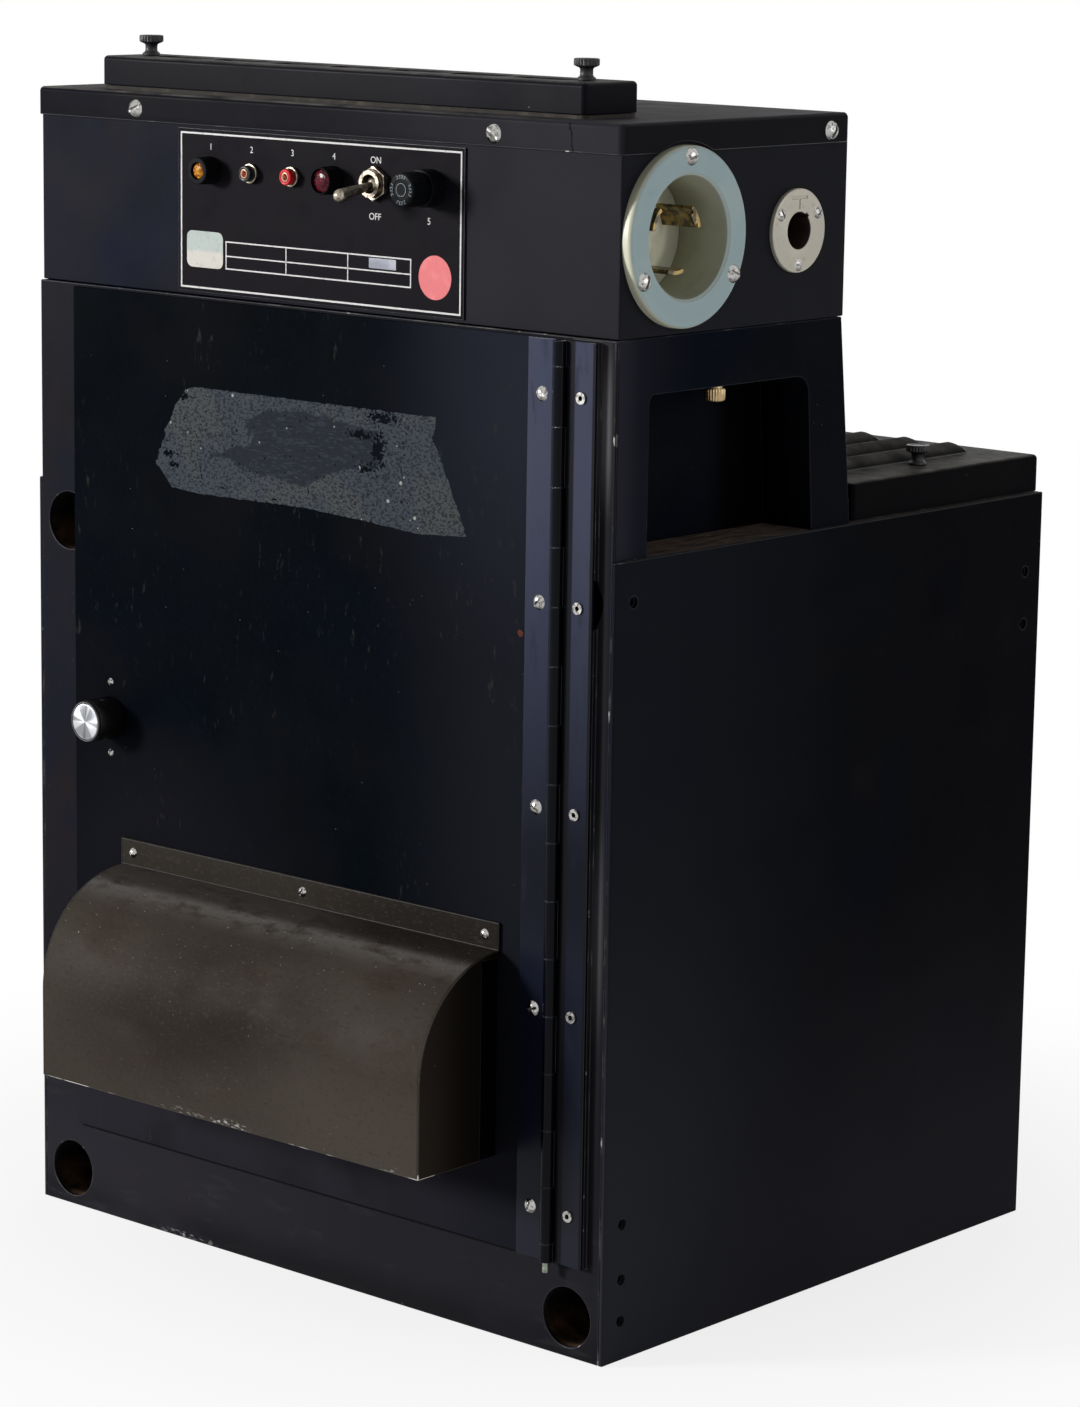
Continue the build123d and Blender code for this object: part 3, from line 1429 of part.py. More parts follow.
with BuildPart() as lamp_bulb:
    with BuildSketch(Plane.XZ.offset(-lamp_y)):
        with BuildLine():
            bulb_top = bulb_foot + bulb_height
            shoulder = bulb_top - bulb_crown
            neck_end = bulb_foot + bulb_neck_height
            Line((0, bulb_foot), (bulb_neck / 2, bulb_foot))
            Line((bulb_neck / 2, bulb_foot), (bulb_width / 2, neck_end))
            Line((bulb_width / 2, neck_end), (bulb_width / 2, shoulder))
            TangentArc((0, bulb_top), (bulb_width / 2, shoulder), tangent=(1, 0))
            Line((0, bulb_top), (0, bulb_foot))
        make_face()
    revolve(axis=Axis((0, lamp_y, 0), (0, 0, 1)))
    with BuildSketch(level(socket_top)):
        with Locations((0, lamp_y)):
            RectangleRounded(base_wide, base_deep, bulb_base_round)
    extrude(amount=base_high)
    with BuildSketch(level(socket_top)):
        with Locations((lamp_pin_pitch / 2, lamp_y), (-lamp_pin_pitch / 2, lamp_y)):
            Circle(lamp_pin / 2)
    extrude(amount=-lamp_pin_length)
save(lamp_bulb, "lamp_bulb")

with BuildPart() as lamp_socket:
    with BuildSketch(level(bracket_top)):
        with Locations((0, lamp_y)):
            RectangleRounded(socket_wide, socket_deep, lamp_socket_round)
    extrude(amount=socket_high)
    with Locations((lamp_pin_pitch / 2, lamp_y, socket_top), (-lamp_pin_pitch / 2, lamp_y, socket_top)):
        Hole(lamp_pin / 2 + slip, lamp_pin_length + lamp_pin_room)
save(lamp_socket, "lamp_socket")

# Reflector: a spherical dish about the filament, on a stud
mirror_back = lamp_y - mirror_radius - mirror_sheet
arm_y = mirror_back - mirror_arm_gap
mirror_rim = radians(mirror_half_angle)

with BuildPart() as reflector:
    with BuildSketch(Plane.XY.offset(axis_height)):
        with BuildLine():
            reach = mirror_radius + mirror_sheet
            half = mirror_rim / 2
            ThreePointArc(
                (0, lamp_y - mirror_radius),
                (mirror_radius * sin(half), lamp_y - mirror_radius * cos(half)),
                (mirror_radius * sin(mirror_rim), lamp_y - mirror_radius * cos(mirror_rim)),
            )
            ThreePointArc(
                (0, lamp_y - reach),
                (reach * sin(half), lamp_y - reach * cos(half)),
                (reach * sin(mirror_rim), lamp_y - reach * cos(mirror_rim)),
            )
            Line(
                (mirror_radius * sin(mirror_rim), lamp_y - mirror_radius * cos(mirror_rim)),
                (reach * sin(mirror_rim), lamp_y - reach * cos(mirror_rim)),
            )
            Line((0, lamp_y - mirror_radius), (0, lamp_y - reach))
        make_face()
    revolve(axis=Axis((0, 0, axis_height), (0, 1, 0)))
    with BuildSketch(on_front(0, mirror_back + mirror_sheet / 2, axis_height)):
        Circle(mirror_stud / 2)
    extrude(amount=mirror_sheet / 2 + mirror_arm_gap + sheet + mirror_stud_end)
save(reflector, "reflector")

# Lamp bracket: a hat-shaped pedestal on the base pan, with an arm for the reflector
with BuildPart() as lamp_bracket:
    with BuildSketch(facing_front(lamp_y - bracket_depth / 2)):
        with BuildLine():
            outer = bracket_width / 2
            Polyline(
                (-outer - bracket_foot, sheet),
                (-outer + sheet, sheet),
                (-outer + sheet, bracket_top - sheet),
                (outer - sheet, bracket_top - sheet),
                (outer - sheet, sheet),
                (outer + bracket_foot, sheet),
                (outer + bracket_foot, 2 * sheet),
                (outer, 2 * sheet),
                (outer, bracket_top),
                (-outer, bracket_top),
                (-outer, 2 * sheet),
                (-outer - bracket_foot, 2 * sheet),
                close=True,
            )
        make_face()
    extrude(amount=-bracket_depth)
    with BuildSketch(facing_right(-mirror_arm / 2)):
        with BuildLine():
            Polyline(
                (lamp_y, bracket_top),
                (lamp_y, bracket_top - sheet),
                (arm_y - sheet, bracket_top - sheet),
                (arm_y - sheet, axis_height + mirror_arm / 2),
                (arm_y, axis_height + mirror_arm / 2),
                (arm_y, bracket_top),
                close=True,
            )
        make_face()
    extrude(amount=mirror_arm)
    with Locations(on_front(0, arm_y - sheet, axis_height)):
        Hole(mirror_stud / 2 + slip, sheet)
save(lamp_bracket, "lamp_bracket")

# Blower: a volute of tangent arcs whose radius shrinks a step at each quarter turn
blower_x = blower_from_side - case_side
blower_y = case_front + blower_from_front
blower_height = sheet + blower_ground_gap + volute_radius
blower_right = blower_x + blower_width
step = volute_step


def volute_outline(x, wall):
    """Side view of the scroll, drawn in by its wall, open upwards at the outlet."""
    big = volute_radius - wall
    lip_radius = big - 3 * step
    lip_angle = radians(volute_lip_angle)
    top = volute_outlet + (thin_sheet if wall else 0)
    with BuildSketch(on_right(x, blower_y, blower_height)) as outline:
        with BuildLine():
            lip = (-step + lip_radius * sin(lip_angle), lip_radius * cos(lip_angle))
            duct = -step + (lip_radius + wall) * sin(lip_angle) + wall
            Line((big, top), (big, 0))
            CenterArc((0, 0), big, 0, -90)
            CenterArc((0, -step), big - step, -90, -90)
            CenterArc((-step, -step), big - 2 * step, 180, -90)
            CenterArc((-step, 0), lip_radius, 90, -volute_lip_angle)
            if wall:
                Line(lip, (duct, lip[1]))
            Line((duct, lip[1]), (duct, top))
            Line((duct, top), (big, top))
        make_face()
    return outline.sketch


with BuildPart() as blower_housing:
    extrude(volute_outline(blower_x, 0), amount=blower_width)
    extrude(
        volute_outline(blower_x + thin_sheet, thin_sheet),
        amount=blower_width - 2 * thin_sheet,
        mode=Mode.SUBTRACT,
    )
    with BuildSketch(facing_right(blower_x)):
        with Locations((blower_y, blower_height)):
            Circle(volute_intake / 2)
    extrude(amount=thin_sheet, mode=Mode.SUBTRACT)
    with BuildSketch(facing_right(blower_right)):
        with Locations((blower_y, blower_height)):
            Circle(blower_shaft / 2 + shaft_hole_wall)
    extrude(amount=-thin_sheet, mode=Mode.SUBTRACT)
    with BuildSketch(level(sheet)):
        with Locations(((blower_x + blower_right) / 2, blower_y)):
            Rectangle(blower_width, blower_foot_length)
    extrude(amount=sheet)
    with BuildSketch(level(sheet)):
        with Locations((blower_x + thin_sheet / 2, blower_y), (blower_right - thin_sheet / 2, blower_y)):
            Rectangle(thin_sheet, blower_foot_length)
    extrude(amount=blower_height - volute_radius + blower_foot_lap)
save(blower_housing, "blower_housing")

# Blower wheel: a drum of forward-curved blades on a disc, a hub and its shaft
wheel_x = blower_x + thin_sheet + wheel_gap
wheel_disc_x = blower_right - thin_sheet - wheel_gap
wheel_width = wheel_disc_x - wheel_x

with BuildPart() as blower_wheel:
    with BuildSketch(on_right(wheel_disc_x, blower_y, blower_height)):
        Circle(wheel_radius)
    extrude(amount=-thin_sheet)
    with BuildSketch(on_right(wheel_x, blower_y, blower_height)):
        Circle(wheel_radius)
        Circle(wheel_radius - wheel_blade_depth, mode=Mode.SUBTRACT)
    extrude(amount=thin_sheet)
    with BuildSketch(on_right(wheel_x, blower_y, blower_height)):
        with PolarLocations(wheel_radius - wheel_blade_depth / 2, wheel_blades):
            Rectangle(wheel_blade_depth, wheel_blade_thickness, rotation=wheel_blade_turn)
    extrude(amount=wheel_width)
    with BuildSketch(on_right(wheel_disc_x, blower_y, blower_height)):
        Circle(blower_shaft)
    extrude(amount=-wheel_hub_length)
    with BuildSketch(on_right(wheel_disc_x, blower_y, blower_height)):
        Circle(blower_shaft / 2)
    extrude(amount=blower_right - wheel_disc_x + motor_length / 2)
save(blower_wheel, "blower_wheel")

with BuildPart() as blower_motor:
    with BuildSketch(on_right(blower_right, blower_y, blower_height)):
        Circle(motor_width / 2)
    extrude(amount=motor_length)
    chamfer(blower_motor.faces().sort_by(Axis.X)[-1].edges(), motor_chamfer)
    with Locations(Plane(origin=(blower_right, blower_y, blower_height), z_dir=(-1, 0, 0))):
        Hole(blower_shaft / 2 + bearing_gap, motor_length / 2 + part_gap)
save(blower_motor, "blower_motor")
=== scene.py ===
import json
from math import cos, hypot, pi, radians, sin

import bmesh
import bpy
from mathutils import Matrix, Vector, noise

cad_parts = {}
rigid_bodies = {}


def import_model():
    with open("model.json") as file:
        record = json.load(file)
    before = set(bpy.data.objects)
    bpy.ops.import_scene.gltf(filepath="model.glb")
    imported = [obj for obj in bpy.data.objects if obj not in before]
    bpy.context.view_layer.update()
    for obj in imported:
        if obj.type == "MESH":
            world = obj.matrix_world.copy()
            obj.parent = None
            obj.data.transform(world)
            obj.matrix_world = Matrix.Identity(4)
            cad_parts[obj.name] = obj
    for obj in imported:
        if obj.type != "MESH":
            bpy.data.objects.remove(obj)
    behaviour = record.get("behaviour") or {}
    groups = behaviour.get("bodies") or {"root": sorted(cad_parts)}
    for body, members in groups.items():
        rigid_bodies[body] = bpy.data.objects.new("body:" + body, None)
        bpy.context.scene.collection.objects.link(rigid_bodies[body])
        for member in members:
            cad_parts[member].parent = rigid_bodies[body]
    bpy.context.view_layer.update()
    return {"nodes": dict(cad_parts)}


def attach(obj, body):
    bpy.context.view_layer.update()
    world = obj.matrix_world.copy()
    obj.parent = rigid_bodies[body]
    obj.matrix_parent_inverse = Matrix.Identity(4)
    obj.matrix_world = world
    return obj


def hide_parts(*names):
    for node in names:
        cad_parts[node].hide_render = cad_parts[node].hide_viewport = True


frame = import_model()
mm = 0.001

# Camera. It stands to the right of the front and a little above the machine, with a long lens.
# Its place was worked out from corners whose real places are known.
camera_lens = bpy.data.cameras.new("camera")
camera_lens.lens = 110.79
camera_lens.sensor_width = 36.0
camera_lens.clip_end = 100.0
camera = bpy.data.objects.new("camera", camera_lens)
camera.matrix_world = (
    Matrix.Translation((1.3299, -1.5143, 0.6375))
    @ Matrix.Rotation(radians(41.258), 4, "Z")
    @ Matrix.Rotation(radians(90 - 10.979), 4, "X")
    @ Matrix.Rotation(radians(0.849), 4, "Z")
)
bpy.context.scene.collection.objects.link(camera)
bpy.context.scene.camera = camera
bpy.context.scene.view_settings.view_transform = "Standard"

# Studio floor. A wide sheet of white paper lies under the machine and keeps its shadow.
# Away from the machine the paper fades into the white of the room.
paper_reach = 30.0
paper_fade = (0.08, 0.55)
white_under_the_machine = 0.78
paper_shape = bmesh.new()
bmesh.ops.create_grid(paper_shape, x_segments=8, y_segments=8, size=paper_reach)
for point in paper_shape.verts:
    point.co.z = -0.2 * mm
paper_sheet = bpy.data.meshes.new("studio_paper")
paper_shape.to_mesh(paper_sheet)
paper_shape.free()
paper = bpy.data.objects.new("studio_paper", paper_sheet)
bpy.context.scene.collection.objects.link(paper)


def seen_directly(wires):
    """1 for what the camera sees, straight or mirrored or through glass, and 0 for the light itself."""
    ray = wires.nodes.new("ShaderNodeLightPath")
    total = ray.outputs["Is Camera Ray"]
    for way in ("Is Glossy Ray", "Is Transmission Ray"):
        either = wires.nodes.new("ShaderNodeMath")
        either.operation = "MAXIMUM"
        wires.links.new(total, either.inputs[0])
        wires.links.new(ray.outputs[way], either.inputs[1])
        total = either.outputs[0]
    return total


paper_white = bpy.data.materials.new("white paper")
paper_white.use_nodes = True
wires = paper_white.node_tree
lit_paper = wires.nodes["Principled BSDF"]
lit_paper.inputs["Base Color"].default_value = (0.93, 0.93, 0.93, 1)
lit_paper.inputs["Roughness"].default_value = 0.9
lit_paper.inputs["Specular IOR Level"].default_value = 0.0
plain_white = wires.nodes.new("ShaderNodeEmission")
place_on_paper = wires.nodes.new("ShaderNodeTexCoord")
away = wires.nodes.new("ShaderNodeVectorMath")
away.operation = "LENGTH"
wires.links.new(place_on_paper.outputs["Object"], away.inputs[0])
fade = wires.nodes.new("ShaderNodeMapRange")
fade.interpolation_type = "SMOOTHSTEP"
fade.inputs["From Min"].default_value = paper_fade[0]
fade.inputs["From Max"].default_value = paper_fade[1]
fade.inputs["To Min"].default_value = white_under_the_machine
wires.links.new(away.outputs["Value"], fade.inputs["Value"])
faded = wires.nodes.new("ShaderNodeMath")
faded.operation = "MULTIPLY"
wires.links.new(fade.outputs["Result"], faded.inputs[0])
wires.links.new(seen_directly(wires), faded.inputs[1])
paper_mix = wires.nodes.new("ShaderNodeMixShader")
wires.links.new(faded.outputs[0], paper_mix.inputs[0])
wires.links.new(lit_paper.outputs[0], paper_mix.inputs[1])
wires.links.new(plain_white.outputs[0], paper_mix.inputs[2])
wires.links.new(paper_mix.outputs[0], wires.nodes["Material Output"].inputs["Surface"])
paper_sheet.materials.append(paper_white)

# Light. The room is white to the eye and in reflections, and lights the machine a little all round.
# One soft box stands a little above the machine at the front left.
# Weaker ones light its right side and its back.
room_glow = 0.14
lamps_aim_at = Vector((0, 0, 0.28))
room = bpy.data.worlds.new("white room")
bpy.context.scene.world = room
room.use_nodes = True
wires = room.node_tree
glow = wires.nodes["Background"]
glow.inputs["Color"].default_value = (1, 1, 1, 1)
glow.inputs["Strength"].default_value = room_glow
walls = wires.nodes.new("ShaderNodeBackground")
walls.inputs["Color"].default_value = (1, 1, 1, 1)
walls.inputs["Strength"].default_value = 1.0
room_mix = wires.nodes.new("ShaderNodeMixShader")
wires.links.new(seen_directly(wires), room_mix.inputs[0])
wires.links.new(glow.outputs[0], room_mix.inputs[1])
wires.links.new(walls.outputs[0], room_mix.inputs[2])
wires.links.new(room_mix.outputs[0], wires.nodes["World Output"].inputs["Surface"])

for name, place, width, watts in (
    ("soft_box", (-2.2, -2.75, 1.15), 0.8, 138.0),
    ("side_box", (3.2, 0.5, 1.1), 3.0, 30.0),
    ("back_box", (-1.6, 3.2, 0.45), 1.4, 30.0),
):
    soft_box = bpy.data.lights.new(name, "AREA")
    soft_box.shape = "DISK"
    soft_box.size = width
    soft_box.energy = watts
    lamp = bpy.data.objects.new(name, soft_box)
    lamp.location = place
    lamp.rotation_mode = "QUATERNION"
    lamp.rotation_quaternion = (lamps_aim_at - Vector(place)).to_track_quat("-Z", "Y")
    bpy.context.scene.collection.objects.link(lamp)


# Lower case. Folded steel sheets, spot welded at the corners and sprayed satin black.
# The paint has a faint mottle, dust, rubbed corners and small chips down to the pale primer.
class Finish:
    """A finish, laid on in layers from the base coat up. Sizes and places are in millimetres."""

    def __init__(self, name, colour, roughness, metal=0.0, shine=0.5):
        self.material = bpy.data.materials.new(name)
        self.material.use_nodes = True
        self.tree = self.material.node_tree
        self.shader = self.tree.nodes["Principled BSDF"]
        self.shader.inputs["Base Color"].default_value = (*colour, 1)
        self.shader.inputs["Roughness"].default_value = roughness
        self.shader.inputs["Metallic"].default_value = metal
        self.shader.inputs["Specular IOR Level"].default_value = shine
        self.place = self.tree.nodes.new("ShaderNodeTexCoord").outputs["Object"]
        self.colour = (*colour, 1)
        self.roughness = roughness
        self.metal = metal
        self.normal = None

    def feed(self, socket, value):
        """Sets a socket, or joins another node's result to it."""
        if isinstance(value, bpy.types.NodeSocket):
            self.tree.links.new(value, socket)
        else:
            socket.default_value = value

    def step(self, kind, one, other):
        """One value worked on another: ADD, SUBTRACT, MULTIPLY, MAXIMUM and so on."""
        both = self.tree.nodes.new("ShaderNodeMath")
        both.operation = kind
        self.feed(both.inputs[0], one)
        self.feed(both.inputs[1], other)
        return both.outputs[0]

    def between(self, value, low, high):
        """Where the value passes from low to high, as a mask from 0 to 1."""
        ramp = self.tree.nodes.new("ShaderNodeMapRange")
        ramp.interpolation_type = "SMOOTHSTEP"
        self.feed(ramp.inputs["Value"], value)
        ramp.inputs["From Min"].default_value = low
        ramp.inputs["From Max"].default_value = high
        return ramp.outputs["Result"]

    def spread(self, size, stretch, seed):
        """Places on the piece, counted in grains of the given size."""
        grain = self.tree.nodes.new("ShaderNodeMapping")
        self.tree.links.new(self.place, grain.inputs["Vector"])
        grain.inputs["Location"].default_value = (seed, seed * 1.7, seed * 2.3)
        grain.inputs["Scale"].default_value = [1000.0 / (size * s) for s in stretch]
        return grain.outputs["Vector"]

    def mottle(self, size, detail=3.0, stretch=(1, 1, 1), seed=0.0):
        """Cloudy patches of about the given size, with their middle value at a half."""
        cloud = self.tree.nodes.new("ShaderNodeTexNoise")
        cloud.inputs["Scale"].default_value = 1.0
        cloud.inputs["Detail"].default_value = detail
        cloud.inputs["Roughness"].default_value = 0.55
        self.tree.links.new(self.spread(size, stretch, seed), cloud.inputs["Vector"])
        return cloud.outputs[0]

    def dots(self, cell, width, share, seed=0.0):
        """Round dots scattered at one chance in each cell."""
        cells = self.tree.nodes.new("ShaderNodeTexVoronoi")
        cells.inputs["Scale"].default_value = 1.0
        self.tree.links.new(self.spread(cell, (1, 1, 1), seed), cells.inputs["Vector"])
        chance = self.tree.nodes.new("ShaderNodeSeparateColor")
        self.tree.links.new(cells.outputs["Color"], chance.inputs[0])
        near = self.between(cells.outputs["Distance"], width / cell, width / cell * 0.6)
        return self.step("MULTIPLY", near, self.between(chance.outputs[0], share, share * 0.98))

    def along(self, direction):
        """How far a point lies along a direction."""
        measure = self.tree.nodes.new("ShaderNodeVectorMath")
        measure.operation = "DOT_PRODUCT"
        self.tree.links.new(self.place, measure.inputs[0])
        measure.inputs[1].default_value = [1000.0 * v for v in direction]
        return measure.outputs["Value"]

    def either_side(self, direction, middle=0.0):
        """How far a point lies from a middle, to either side of it along a direction."""
        return self.step("ABSOLUTE", self.step("SUBTRACT", self.along(direction), middle), 0.0)

    def across(self, direction, low, high):
        """A mask that goes from 0 to 1 between two places along a direction."""
        return self.between(self.along(direction), low, high)

    def clouds(self, size, low, high, detail=3.0, stretch=(1, 1, 1), seed=0.0):
        """Cloudy patches of about the given size, as a mask."""
        return self.between(self.mottle(size, detail, stretch, seed), low, high)

    def overlap(self, *masks):
        """Where all the masks meet."""
        meeting = masks[0]
        for mask in masks[1:]:
            meeting = self.step("MULTIPLY", meeting, mask)
        return meeting

    def reach(self, centre, squash=(1, 1, 1)):
        """How far a point lies from a centre. A squash of 0 makes the centre a line."""
        offset = self.tree.nodes.new("ShaderNodeVectorMath")
        offset.operation = "SUBTRACT"
        self.tree.links.new(self.place, offset.inputs[0])
        offset.inputs[1].default_value = [v * mm for v in centre]
        scaled = self.tree.nodes.new("ShaderNodeVectorMath")
        scaled.operation = "MULTIPLY"
        self.tree.links.new(offset.outputs[0], scaled.inputs[0])
        scaled.inputs[1].default_value = [1000.0 * s for s in squash]
        length = self.tree.nodes.new("ShaderNodeVectorMath")
        length.operation = "LENGTH"
        self.tree.links.new(scaled.outputs[0], length.inputs[0])
        return length.outputs["Value"]

    def patch(self, centre, size, ragged=0.6, squash=(1, 1, 1), soft=0.15):
        """A ragged patch round one place."""
        wander = self.step("SUBTRACT", self.mottle(size * 0.8, 4, seed=centre[0] % 7), 0.5)
        far = self.step("ADD", self.reach(centre, squash), self.step("MULTIPLY", wander, 2 * ragged * size))
        return self.between(far, size, size * (1 - soft))

    def facing_up(self, low=0.6, high=0.95):
        """Where the surface faces up."""
        side = self.tree.nodes.new("ShaderNodeNewGeometry")
        part = self.tree.nodes.new("ShaderNodeSeparateXYZ")
        self.tree.links.new(side.outputs["Normal"], part.inputs[0])
        return self.between(part.outputs["Z"], low, high)

    def over(self, mask, under, value, socket):
        """Lays one value over another where the mask is. Sockets 2 and 3 are the mix's plain values."""
        blend = self.tree.nodes.new("ShaderNodeMix")
        self.feed(blend.inputs[0], mask)
        self.feed(blend.inputs[2], under)
        self.feed(blend.inputs[3], value)
        self.tree.links.new(blend.outputs[0], self.shader.inputs[socket])
        return blend.outputs[0]

    def tint(self, mask, colour, share=1.0):
        """Lays a colour over what is there, where the mask is. Sockets 6 and 7 are the mix's colours."""
        if share < 1.0:
            mask = self.step("MULTIPLY", mask, share)
        blend = self.tree.nodes.new("ShaderNodeMix")
        blend.data_type = "RGBA"
        self.feed(blend.inputs[0], mask)
        self.feed(blend.inputs[6], self.colour)
        blend.inputs[7].default_value = (*colour, 1)
        self.colour = blend.outputs[2]
        self.tree.links.new(self.colour, self.shader.inputs["Base Color"])

    def dull(self, mask, roughness):
        """Changes the roughness where the mask is."""
        self.roughness = self.over(mask, self.roughness, roughness, "Roughness")

    def bare(self, mask, metal):
        """Lets metal show, or hides it, where the mask is."""
        self.metal = self.over(mask, self.metal, metal, "Metallic")

    def relief(self, height, amount):
        """Raises the surface by an amount where the height is 1."""
        raised = self.tree.nodes.new("ShaderNodeBump")
        raised.inputs["Distance"].default_value = amount * mm
        self.tree.links.new(height, raised.inputs["Height"])
        if self.normal:
            self.tree.links.new(self.normal, raised.inputs["Normal"])
        self.normal = raised.outputs["Normal"]
        self.tree.links.new(self.normal, self.shader.inputs["Normal"])


rightward, backward, forward, upward = (1, 0, 0), (0, 1, 0), (0, -1, 0), (0, 0, 1)
front_of_the_frame = -154.5


def black_paint(
    name, colour, shine, roughness=0.42, haze=0.1, dust=0.0, foot_dust_and_bounce=(0, 0, 0), worn=0.0, chips=()
):
    """Satin black paint with its mottle, dust and chips. Worn says how far an edge is rubbed."""
    paint = Finish(name, colour, roughness, shine=shine)
    paint.tint(paint.clouds(120, 0.45, 0.75, 4), [c * 1.4 for c in colour])
    paint.tint(paint.clouds(26, 0.52, 0.8, 5, seed=3), [c * 0.65 for c in colour])
    blued = (colour[0] * 0.7, colour[1] * 0.95, colour[2] * 1.4)
    paint.tint(paint.clouds(75, 0.48, 0.66, 4, seed=14), blued, 0.85)
    browned = (colour[0] * 1.6, colour[1] * 1.2, colour[2] * 0.95)
    paint.tint(paint.clouds(44, 0.54, 0.74, 5, seed=17), browned, 0.7)
    paint.tint(paint.clouds(2.3, 0.54, 0.76, 5, seed=19), [c * 1.5 + 0.004 for c in colour], 0.45)
    smoke = paint.clouds(60, 0.5, 0.85, 5, (1, 1, 0.6), seed=9)
    paint.tint(smoke, (0.030, 0.029, 0.029), haze)
    paint.dull(paint.clouds(45, 0.35, 0.75, 5, seed=5), roughness + 0.14)
    rubs = paint.clouds(9, 0.7, 0.82, 2, (0.25, 4, 4), seed=8)
    paint.dull(rubs, roughness - 0.08)
    # Lighter towards the foot: dust on the case and the door, and painted light bounced up from the floor on
    # the side panels.
    high, low, share = foot_dust_and_bounce
    if share:
        dust_and_bounce_light = paint.step("MULTIPLY", paint.across(upward, high, low), share)
        paint.tint(dust_and_bounce_light, (0.0200, 0.0188, 0.0240))
    if dust:
        settled = paint.overlap(paint.facing_up(), paint.clouds(18, 0.2, 0.8, 6, seed=12))
        paint.tint(settled, (0.30, 0.285, 0.26), dust)
    if worn:
        rubbed = paint.clouds(15, 0.66 - 0.2 * worn, 0.76 - 0.1 * worn, 6, seed=6)
        paint.tint(rubbed, (0.085, 0.083, 0.085))
        paint.tint(paint.clouds(7, 0.66, 0.7, 5, seed=16), (0.26, 0.25, 0.24))
    paint.tint(paint.dots(7, 0.26, 0.14, seed=2), (0.16, 0.15, 0.14))
    paint.tint(paint.dots(19, 0.5, 0.10, seed=4), (0.12, 0.11, 0.10))
    for place, size in chips:
        paint.tint(paint.patch(place, size, soft=0.3), (0.66, 0.65, 0.62))
    paint.relief(paint.mottle(1.1, 2), 0.005)
    paint.relief(paint.mottle(95, 2, seed=7), 0.3)
    return paint


def broken_edges(node, width, finish, worn_finish=None, corner=32):
    """Gives a solid its finish, and breaks its sharp corners, which wear lighter than the faces."""
    piece = frame["nodes"][node]
    piece.material_slots[0].material = finish.material
    if worn_finish:
        piece.data.materials.append(worn_finish.material)
    joined = piece.modifiers.new("joined", "WELD")
    joined.merge_threshold = 0.002 * mm
    flat = piece.modifiers.new("flat faces", "DECIMATE")
    flat.decimate_type = "DISSOLVE"
    flat.angle_limit = radians(0.3)
    edge = piece.modifiers.new("broken edges", "BEVEL")
    edge.width = width * mm
    edge.segments = 2
    edge.limit_method = "ANGLE"
    edge.angle_limit = radians(corner)
    edge.use_clamp_overlap = False
    edge.loop_slide = False
    if worn_finish:
        edge.material = 1
    facets = piece.modifiers.new("facets", "TRIANGULATE")
    facets.ngon_method = "BEAUTY"
    facets.min_vertices = 5
    smooth = piece.modifiers.new("smooth corners", "WEIGHTED_NORMAL")
    smooth.mode = "FACE_AREA"
    smooth.weight = 100
    smooth.keep_sharp = False
    return piece


case_black = black_paint(
    "case black",
    (0.0060, 0.0056, 0.0082),
    0.03,
    foot_dust_and_bounce=(110, 25, 0.75),
    chips=[
        ((-81, front_of_the_frame, 1.4), 1.0),
        ((-63, front_of_the_frame, 1.4), 1.4),
        ((60, front_of_the_frame, 0.8), 0.9),
    ],
)
case_edge = black_paint(
    "case black rubbed edge",
    (0.015, 0.0145, 0.017),
    0.14,
    worn=0.75,
    chips=[
        ((178, front_of_the_frame, 286), 3.4),
        ((176, -152.5, 403), 3.0),
        ((177.5, front_of_the_frame, 100), 2.8),
        ((178, front_of_the_frame, 1.5), 3.0),
        ((-178, front_of_the_frame, 60), 2.5),
    ],
)
# The side panels are painted lighter towards the foot, most of all at the front, as painted light bounced up
# from the floor.
side_black = black_paint(
    "side panel black", (0.0030, 0.0031, 0.0044), 0.008, 0.5, 0.04, foot_dust_and_bounce=(200, 0, 0.95)
)
side_black.tint(side_black.across(forward, -60.0, 160.0), (0.0118, 0.0140, 0.0190), 0.75)
front_foot_bounce = side_black.overlap(
    side_black.across(upward, 270.0, 40.0), side_black.across(forward, 20.0, 150.0)
)
side_black.tint(front_foot_bounce, (0.0260, 0.0270, 0.0320), 0.8)
side_edge = black_paint("side panel rubbed edge", (0.012, 0.012, 0.015), 0.10, worn=0.7)
side_edge.tint(side_edge.across(backward, -150.0, -147.0), (0.004, 0.004, 0.005), 0.9)
inner_black = black_paint("inner flat black", (0.006, 0.006, 0.0065), 0.03, 0.75)
# The packing strip beside the hinge is painted lighter, as painted light where the hinge leaf casts its
# shadow, with two brighter bands of painted light along it.
strip_lit_in_hinge_shadow = case_black.overlap(
    case_black.across(rightward, 168.0, 169.0),
    case_black.across(forward, 152.0, 154.0),
    case_black.across(rightward, 175.6, 172.5),
)
case_black.tint(strip_lit_in_hinge_shadow, (0.0130, 0.0130, 0.0155), 0.9)
for height, reach_up, tone in ((408, 44, 0.095), (192, 60, 0.055)):
    painted_light_band = case_black.between(case_black.either_side(upward, height), reach_up, 4.0)
    case_black.tint(case_black.overlap(strip_lit_in_hinge_shadow, painted_light_band), (tone, tone, tone * 1.1), 0.9)
